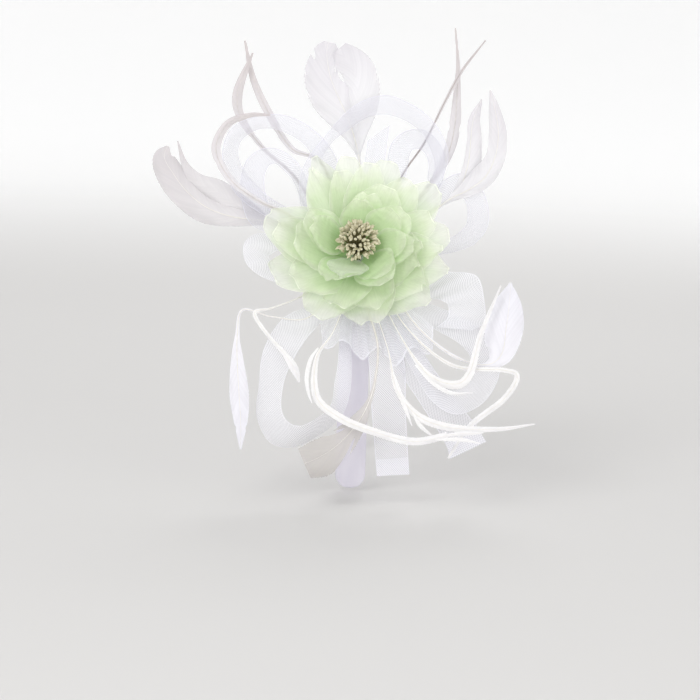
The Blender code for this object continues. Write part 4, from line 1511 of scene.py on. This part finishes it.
@dataclass
class CrinRibbon:
    """One length of crin between two edge curves.

    The surface is ruled between the curves, arched a little across, and waves along its free edge.
    """

    node: str
    outer: Track
    inner: Track
    style: BraidStyle
    phase: float
    columns: int = 15
    waves: float = 7.0
    pleat_height: float = 1.3
    least_width: float = 10.0

    def grid(self) -> Array:
        """Points of the ribbon, rows by columns by 3, in the spray's millimetres.

        P(s, t) = (1 - t) A(s) + t B(s) + h n(s), with A and B the laid edge curves and n the
        ribbon's normal. The height h is arch e 4t(1 - t) + wave e sin(2 pi k s + f) (0.35 + 0.65 t)
        with e a hump that dies at both roots. Pleats add a zigzag that dies towards the second
        edge.
        """
        style = self.style
        first = lay(spline(self.outer, style.rows))
        second = lay(spline(self.inner, style.rows))
        share = np.linspace(0, 1, self.columns)[None, :, None]
        ruled = first[:, None] * (1 - share) + second[:, None] * share
        tangent = unit(np.gradient(ruled, axis=0))
        across = np.broadcast_to(second[:, None] - first[:, None], ruled.shape)
        normal = unit(np.cross(tangent, unit(across)))
        along = np.linspace(0, 1, style.rows)[:, None, None]
        hump = np.clip(np.minimum(along, 1 - along) * 7, 0, 1)
        turns = 2 * math.pi * self.waves * along + self.phase + 2.2 * share
        swing = style.wave * hump * np.sin(turns)
        lift = style.arch * hump * 4 * share * (1 - share) + swing * (0.35 + 0.65 * share)
        if style.pleats:
            fold = np.abs(((along * style.pleats + 0.1 * share) % 1) * 2 - 1) * 2 - 1
            lift = lift + fold * self.pleat_height * (1 - share) * np.clip(hump + 0.4, 0, 1)
        return ruled + lift * normal

    def cloth(self, grid: Array) -> tuple[Array, Array, float, float]:
        """Flat places of the points on the braid, in millimetres, with shares, width and length.

        Args:
            grid: the ribbon's points.

        Returns:
            Cloth map, share map, cut width and cut length.
        """
        middle = grid[:, self.columns // 2]
        length = arc_length(middle)
        widths = np.linalg.norm(grid[:, 0] - grid[:, -1], axis=1)
        width = max(float(np.percentile(widths, 80)), self.least_width)
        share = np.linspace(0, 1, self.columns)
        across = np.broadcast_to(share * width, grid.shape[:2])
        cloth = np.stack([across, np.broadcast_to(length[:, None], grid.shape[:2])], axis=-1)
        shares = np.stack(np.broadcast_arrays(share[None], (length / length[-1])[:, None]), axis=-1)
        return cloth, shares, width, float(length[-1])

    def build(self) -> None:
        grid = self.grid()
        points = placed(grid, spray_frame())
        cloth, share, width, length = self.cloth(grid)
        piece = make_sheet(f"{self.node}_braid", points, cloth * MM, share)
        set_on_crown(piece, self.style.finish, self.node)
        LOG.info("%s: %.0f by %.0f mm", piece.name, width, length)


# ---------------------------------------------------------------- spray: feathers


@dataclass(frozen=True)
class PlumeStyle:
    """How one kind of feather is filled out and dressed.

    The half widths of its tracks are multiplied by widen, and its vane sinks by the share cup of
    the distance from the quill. The quill's radius is in millimetres, at its root.
    """

    vane: Finish
    quill: Finish = Finish.QUILL
    widen: float = 1.0
    cup: float = 0.34
    quill_radius: float = 0.42


class Plume(Enum):
    """Every kind of feather in the spray."""

    GOOSE = PlumeStyle(Finish.GOOSE)
    # The goose feather with the darker copy of its vane: painted shade on the left feather.
    SHADED_GOOSE = PlumeStyle(Finish.SHADED_GOOSE)
    BRIGHT_GOOSE = PlumeStyle(Finish.BRIGHT_GOOSE)
    CURLED_GOOSE = PlumeStyle(Finish.CURLED_GOOSE)
    SHEER_GOOSE = PlumeStyle(Finish.SHEER_GOOSE)
    COQUE = PlumeStyle(Finish.COQUE, Finish.GREY_QUILL, widen=1.35, cup=0.3)
    QUILL = PlumeStyle(Finish.COQUE, Finish.DARK_QUILL)
    STRIPPED = PlumeStyle(Finish.STRIPPED, quill_radius=0.34)
    THIN_STRIPPED = PlumeStyle(Finish.STRIPPED, widen=1.3, quill_radius=0.34)


# Tracks of every feather, the main one from root to tip and then the lobes beside it: across, rise
# and level above the felt, and half widths to the left and right of the quill, in millimetres.
FEATHERS: dict[str, tuple[Plume, tuple[Track, ...]]] = {
    "goose_feather_top": (Plume.CURLED_GOOSE, (
        ((1, -2, 5.4, 0.7, 0.7), (2, 30, 5.4, 0.5, 0.5), (1, 50, 6, 1, 1), (-2, 64, 7, 6, 4),
         (-6.5, 77, 8, 13, 8), (-12, 89, 9, 17.5, 10), (-16, 99, 10, 17.5, 5.5),
         (-18, 108, 11, 15, 7), (-18.5, 116, 12, 9, 8), (-17.5, 121, 13, 3, 5)),
        ((0.4, 54, 6.6, 1.5, 2), (-1, 68, 7.4, 5, 9), (-1, 82, 8.4, 8, 14), (0, 94, 9.4, 8, 14.5),
         (-2.5, 104, 10.4, 8, 14), (-7, 111, 11.4, 9, 11), (-12, 116.5, 12, 5, 7)),
    )),
    "goose_feather_left": (Plume.SHADED_GOOSE, (
        ((-16, -9, 4.8, 0.7, 0.7), (-38, 8, 4.0, 0.8, 0.8), (-56, 13.7, 3.4, 3, 3),
         (-74, 16, 3, 6, 6), (-90, 21.7, 3, 10, 6), (-102.3, 31.5, 4, 11, 6), (-111, 43, 5, 11, 7),
         (-116, 52, 6, 8, 6), (-114, 59, 7, 1, 1)),
        ((-56, 16, 3.8, 2, 3), (-72, 23.5, 3.8, 5, 7), (-84.5, 31.5, 4.2, 6, 8), (-96, 38, 5, 5, 5),
         (-104, 48, 6, 2, 2.5), (-108, 62, 8, 0.4, 0.4)),
    )),
    "goose_feather_right": (Plume.GOOSE, (
        ((16, -9, 11.4, 0.7, 0.7), (40, 14, 11.4, 0.8, 0.8), (54, 26, 12, 1.4, 1.4),
         (65, 31.5, 12, 6, 4), (75.7, 39.5, 12, 9, 6), (82, 52, 13, 6, 6.5), (84, 66, 14, 6, 5.5),
         (82, 80, 15, 4, 3.5), (79, 92, 16, 0.5, 0.5)),
    )),
    "goose_feather_right_back": (Plume.GOOSE, (
        ((15, -6, 8.8, 0.7, 0.7), (38, 16, 8.8, 0.8, 0.8), (54, 25, 9.4, 1, 1), (61, 33, 9.6, 3, 6),
         (66, 48, 9.6, 3, 8), (67.7, 62.6, 9.6, 2.5, 7), (69.4, 75, 9.6, 3, 4.5),
         (74.4, 87, 9.6, 0.5, 0.5)),
    )),
    "goose_feather_low_right": (Plume.BRIGHT_GOOSE, (
        ((14, -20, 11.4, 0.7, 0.7), (34, -49, 14, 0.8, 0.8), (54, -66, 17, 1, 1),
         (73, -72, 18, 1.2, 1.2), (83, -66, 18, 10, 7), (86, -50, 18, 13, 11), (88, -36, 18, 10, 8),
         (89, -24, 18, 0.6, 0.6)),
    )),
    "stripped_feather_back_bend": (Plume.THIN_STRIPPED, (
        ((12, -22, 11.4, 0.3, 0.3), (28, -50, 16, 0.4, 0.4), (54, -72, 20, 1, 1),
         (84, -75, 21, 1.2, 1.2), (92, -79, 21, 1.4, 1.4), (84, -92, 21, 1.6, 1.6),
         (65, -107, 21, 1.4, 1.4), (52, -126, 21, 0.5, 0.5)),
    )),
    "stripped_feather_curl": (Plume.STRIPPED, (
        ((9, -24, 11.2, 0.3, 0.3), (25, -56, 19, 0.4, 0.4), (40, -77, 23.4, 1.8, 2.6),
         (55, -83, 24, 2.2, 3.6), (64, -77, 24, 2.2, 3.2), (71, -54, 24, 1.8, 2.0),
         (83, -26, 24, 0.5, 0.5)),
        ((33, -72, 22.6, 0.5, 0.5), (43, -82, 24.2, 1.0, 1.6), (54, -88, 24.6, 1.0, 1.6),
         (66, -88, 24.8, 0.3, 0.3)),
    )),
    "stripped_feather_long": (Plume.STRIPPED, (
        ((5, -26, 11.2, 0.3, 0.3), (17, -62, 20, 0.4, 0.4), (22, -85, 25.4, 1.6, 1.6),
         (34, -101, 26.2, 2.6, 2.6), (53, -108, 26.4, 2.6, 2.4), (80, -109, 26.4, 1.6, 1.6),
         (102, -106, 26.4, 0.5, 0.5)),
        ((20, -76, 25.2, 0.5, 0.5), (23.5, -86, 26, 1.0, 1.6), (27, -96, 26.6, 1.2, 1.6),
         (31, -107, 27, 0.3, 0.3)),
        ((31, -99, 26.6, 0.5, 0.5), (36, -107, 27, 1.2, 1.4), (44, -114, 27, 0.3, 0.3)),
    )),
    "stripped_feather_sweep": (Plume.STRIPPED, (
        ((-4, -26, 11.2, 0.3, 0.3), (-14, -52, 20, 0.35, 0.35), (-24, -68, 25, 1.8, 1.2),
         (-24, -90, 28, 2.6, 2.6), (-11, -102, 29, 2.8, 2.8), (8, -110, 29, 2.6, 2.6),
         (32, -116, 29, 2.6, 2.6), (54, -112, 29, 2.2, 2.2), (72, -111, 29, 0.5, 0.5)),
        ((-23, -62, 24, 0.5, 0.5), (-27.5, -69, 25.5, 1.4, 1.2), (-29.7, -79, 27, 1.5, 1.3),
         (-28.6, -88, 28, 1.0, 1.0), (-26.5, -94, 28.5, 0.3, 0.3)),
        ((44, -115, 29.4, 0.6, 0.6), (58, -115, 29.4, 1.6, 1.2), (70, -117, 29.4, 0.4, 0.4)),
    )),
    "goose_feather_low_left": (Plume.BRIGHT_GOOSE, (
        ((-12, -20, 10.6, 0.3, 0.3), (-28, -44, 14, 0.35, 0.35), (-50, -44, 16, 0.5, 0.5),
         (-67, -40, 16.4, 0.8, 0.8), (-70, -54, 16.6, 1.4, 1.4), (-70, -70, 16.8, 4, 4),
         (-69, -88, 17, 6, 6), (-68, -104, 17, 4.4, 4.4), (-68, -121, 17, 0.5, 0.5)),
    )),
    "arrow_feather": (Plume.THIN_STRIPPED, (
        ((-14, -17, 12.4, 0.3, 0.3), (-31, -31, 15, 0.35, 0.35), (-50, -39, 19, 0.5, 0.5),
         (-60, -42, 20, 1, 1), (-52, -55, 20, 1, 1), (-43, -65, 20, 1.4, 1.4),
         (-37, -74, 20, 2.2, 2.2), (-34, -82, 20, 0.5, 0.5)),
    )),
    "goose_feather_fan": (Plume.SHEER_GOOSE, (
        ((1, -27, 11.2, 0.7, 0.7), (11, -58, 17, 0.8, 0.8), (10, -80, 21, 1, 1), (6, -94, 22, 2, 2),
         (-1, -106.5, 22, 6, 6), (-11.6, -118, 22, 10, 9), (-22, -125, 22, 13, 11),
         (-31, -129, 22, 10, 10)),
    )),
    "coque_feather_left": (Plume.COQUE, (
        ((-12, -4, 3.9, 0.7, 0.7), (-36, 38, 3.6, 0.8, 0.8), (-56, 57, 3.4, 1, 1),
         (-70, 76, 4, 2, 2), (-72, 92, 6, 2.4, 2.4), (-63, 115, 9, 0.5, 0.5)),
    )),
    "coque_feather_inner_left": (Plume.COQUE, (
        ((-8, -3, 4.4, 0.7, 0.7), (-20, 46, 4.2, 0.8, 0.8), (-40, 58, 3.8, 1.4, 1.4),
         (-54, 80, 3.2, 2, 2), (-63, 100, 3, 1.6, 1.6), (-68, 123, 4, 0.5, 0.5)),
    )),
    "coque_feather_round": (Plume.COQUE, (
        ((-14, -7, 11.8, 0.7, 0.7), (-40, 16, 12.4, 0.8, 0.8), (-57, 24, 17, 1.2, 1.2),
         (-72, 34, 24, 1.6, 1.6), (-81, 46, 25, 2, 2), (-84, 58, 25, 2.2, 2.2),
         (-77, 71, 25, 1.8, 1.8), (-64, 76, 25, 1.2, 1.2), (-52, 76, 25, 0.5, 0.5)),
    )),
    "quill_feather_right": (Plume.QUILL, (
        ((9, -3, 5.2, 0.7, 0.7), (25, 38, 5.2, 0.8, 0.8), (40, 61, 5.0, 0.9, 0.9),
         (53, 87, 5.0, 1.2, 1.2), (63, 105, 5.0, 1.1, 1.1), (77, 123, 5.0, 0.5, 0.5)),
    )),
    "spike_feather_right": (Plume.COQUE, (
        ((12, -4, 4.8, 0.7, 0.7), (42, 34, 0.6, 1.2, 1.2), (54, 54, 0.4, 2.4, 2.4),
         (58.5, 72, 0.4, 2.8, 2.8), (60, 92, 0.4, 1.8, 1.8), (60.5, 110, 0.4, 0.9, 0.9),
         (59, 131, 0.4, 0.4, 0.4)),
    )),
}


@dataclass
class Feather:
    """One feather: a tapering quill with vanes on both sides, and lobes beside it.

    The vane's edge follows the half widths of its track, and the vane cups away from the quill.
    """

    node: str
    tracks: tuple[Track, ...]
    style: PlumeStyle
    rows: int = 140
    half_columns: int = 8
    quill_sides: int = 8
    least_half: float = 0.3
    barb_slant: float = 2.1

    def spine(self, stations: Track) -> Array:
        """A track at even steps, laid in the spray's frame, with its half widths."""
        track = spline(stations, self.rows)
        return np.concatenate([lay(track), np.maximum(track[:, 3:5], self.least_half)], axis=1)

    def frames(self, track: Array) -> tuple[Array, Array]:
        """Sideways and outward directions along a track, by its tangent in the spray's plane.

        Args:
            track: the track.

        Returns:
            Two arrays of unit vectors.
        """
        tangent = unit(np.gradient(track[:, :3], axis=0))
        flat = tangent * [1, 1, 0]
        side = unit(np.stack([-flat[:, 1], flat[:, 0], np.zeros(len(flat))], axis=1))
        return side, unit(np.cross(tangent, side))

    def build_vane(self, number: int, track: Array) -> None:
        """A vane as one surface: P(s, t) = Q(s) + w(s) t side + (ripple - cup w t^2) outward.

        The ripple is two sines of the length along the track, fading towards the quill. On the
        cloth a barb is a line of one second number, which falls with the distance from the quill.

        Args:
            number: which vane of the feather it is.
            track: its line with half widths.
        """
        side, outward = self.frames(track)
        share = np.linspace(-1, 1, 2 * self.half_columns + 1)
        half = np.where(share[None] > 0, track[:, 3:4], track[:, 4:5]) * self.style.widen
        reach = half * share[None]
        length = arc_length(track[:, :3])[:, None]
        broad = np.minimum(half / 8, 1)
        ripple = broad * np.sin(length * 0.16 + share[None] * 2.5 + number) * np.abs(share[None])
        ripple = ripple + 0.35 * broad * np.sin(length * 0.43 - share[None] * 4) * share[None] ** 2
        sink = ripple - self.style.cup * np.abs(reach) * np.abs(share[None])
        points = (track[:, None, :3] + reach[..., None] * side[:, None]
                  + sink[..., None] * outward[:, None])
        cloth = np.stack([reach, length - self.barb_slant * np.abs(reach)], axis=-1)
        shares = np.stack(np.broadcast_arrays(np.abs(share)[None], length / length[-1]), axis=-1)
        name = f"{self.node}_vane{number}"
        piece = make_sheet(name, placed(points, spray_frame()), cloth * MM, shares)
        set_on_crown(piece, self.style.vane, self.node)

    def build_quill(self, track: Array) -> None:
        """The quill: a tube that tapers from root to tip by (1 - s)^0.7.

        Args:
            track: the quill's line.
        """
        outward = self.frames(track)[1]
        share = np.linspace(0, 1, len(track))
        radius = self.style.quill_radius * np.maximum((1 - share) ** 0.7, 0.12)
        ring = tube_points(track[:, :3] + outward * 0.1, radius, self.quill_sides)
        faces, caps = tube_faces(len(track), self.quill_sides)
        piece = make_piece(f"{self.node}_quill", placed(ring, spray_frame()), faces, caps=caps)
        recalculate(piece)
        set_on_crown(piece, self.style.quill, self.node)

    def build(self) -> None:
        """Builds the vanes and the quill."""
        for number, stations in enumerate(self.tracks, 1):
            self.build_vane(number, self.spine(stations))
        self.build_quill(self.spine(self.tracks[0]))
        LOG.info("%s: %d vanes", self.node, len(self.tracks))


@dataclass
class Spray:
    """Every crin ribbon and feather behind and below the flower."""

    phase_step: float = 1.3

    def build(self) -> None:
        """Builds the ribbons, each waving a little out of step with the last, then the feathers."""
        for number, (node, (braid, outer, inner)) in enumerate(CRIN_RIBBONS.items()):
            CrinRibbon(node, outer, inner, braid.value, number * self.phase_step).build()
        for node, (plume, tracks) in FEATHERS.items():
            Feather(node, tracks, plume.value).build()


# ---------------------------------------------------------------- studio


@dataclass(frozen=True)
class Lamp:
    """One soft area light: its place and size in metres, and its power in watts."""

    name: str
    place: tuple[float, float, float]
    size: float
    power: float


@dataclass
class Studio:
    """Plain pale surroundings, soft lights and the camera.

    The camera looks square at the spray's plane, across and rise millimetres from the flower's
    centre. Lengths of the floor and the camera's distance are in metres.
    """

    distance: float = 1.5
    lens: float = 132.7
    sensor: float = 36.0
    across: float = -4.65
    rise: float = -63.4
    around: int = 72
    floor_gap: float = 0.0015
    bend_from: float = 1.6
    bend: float = 0.9
    wall_top: float = 1.1
    near_floor: Colour = (0.72, 0.71, 0.70)
    far_wall: Colour = (0.90, 0.90, 0.90)
    wall_glow: float = 0.22
    surround: float = 0.55
    lamps: tuple[Lamp, ...] = (
        Lamp("key_light", (-0.9, -1.3, 1.3), 0.9, 11.5),
        Lamp("fill_light", (1.3, -1.2, 0.5), 1.2, 5.0),
        Lamp("back_light", (0.2, 1.1, 1.2), 0.8, 6.0),
        Lamp("low_light", (0.1, -1.3, 0.0), 0.9, 2.5),
    )

    def build(self) -> None:
        """Builds the floor, lights, world and camera."""
        self.build_floor()
        self.build_lights()
        self.build_camera()

    def build_floor(self) -> None:
        """A pale bowl of a floor: a flat disc, then a quarter arc and a wall, turned round Z."""
        turn = np.linspace(0, math.pi / 2, 17)
        low = CAD_BOX[0][2] - self.floor_gap
        arc = self.bend_from + self.bend * np.sin(turn)
        reach = np.concatenate([[0.001, self.bend_from / 2], arc, [self.bend_from + self.bend]])
        height = np.concatenate([[low, low], low + self.bend * (1 - np.cos(turn)), [self.wall_top]])
        around = np.linspace(0, 2 * math.pi, self.around, endpoint=False)
        points = np.stack(np.broadcast_arrays(reach[:, None] * np.cos(around),
                                              reach[:, None] * np.sin(around),
                                              height[:, None]), axis=-1)
        faces, caps = tube_faces(len(reach), self.around)
        floor = make_piece("studio_floor", points, faces, caps=caps[:1])
        kit = Dresser("studio_white", Roughness=0.9, Emission_Strength=self.wall_glow)
        place = kit.node("TexCoord").outputs["Object"]
        away = kit.node("VectorMath", operation="LENGTH")
        kit.join(place, away.inputs[0])
        far = kit.remap(away.outputs["Value"], 0.7, 1.9)
        kit.set("Base Color", kit.mix(far, rgba(self.near_floor), rgba(self.far_wall)))
        kit.set("Emission Color", kit.mix(far, rgba((0, 0, 0)), rgba((1, 1, 1))))
        floor.data.materials.append(kit.material)

    def build_lights(self) -> None:
        """Large soft lights turned to the flower, and a pale surround."""
        world = bpy.data.worlds.new("studio_world")
        world.use_nodes = True
        world.node_tree.nodes["Background"].inputs["Color"].default_value = (1, 1, 1, 1)
        world.node_tree.nodes["Background"].inputs["Strength"].default_value = self.surround
        bpy.context.scene.world = world
        for lamp in self.lamps:
            light = bpy.data.lights.new(lamp.name, "AREA")
            light.energy, light.size = lamp.power, lamp.size
            holder = bpy.data.objects.new(lamp.name, light)
            spot = Matrix.Translation(lamp.place)
            away = spot.translation - spray_frame().translation
            holder.matrix_world = spot @ away.to_track_quat("Z", "Y").to_matrix().to_4x4()
            bpy.context.scene.collection.objects.link(holder)
        bpy.context.scene.view_settings.view_transform = "Standard"

    def build_camera(self) -> None:
        """The camera, square to the spray's plane."""
        data = bpy.data.cameras.new("camera")
        data.lens, data.sensor_width = self.lens, self.sensor
        camera = bpy.data.objects.new("camera", data)
        shift = Matrix.Translation((self.across * MM, self.rise * MM, self.distance))
        camera.matrix_world = spray_frame() @ shift
        bpy.context.scene.collection.objects.link(camera)
        bpy.context.scene.camera = camera


def main() -> None:
    """Builds the headpiece's sub-assemblies and the studio, in order."""
    logging.basicConfig(level=logging.INFO, format="%(name)s: %(message)s")
    Headband().build()
    FeltBase().build()
    Flower().build()
    Spray().build()
    Studio().build()


if __name__ == "__main__":
    main()
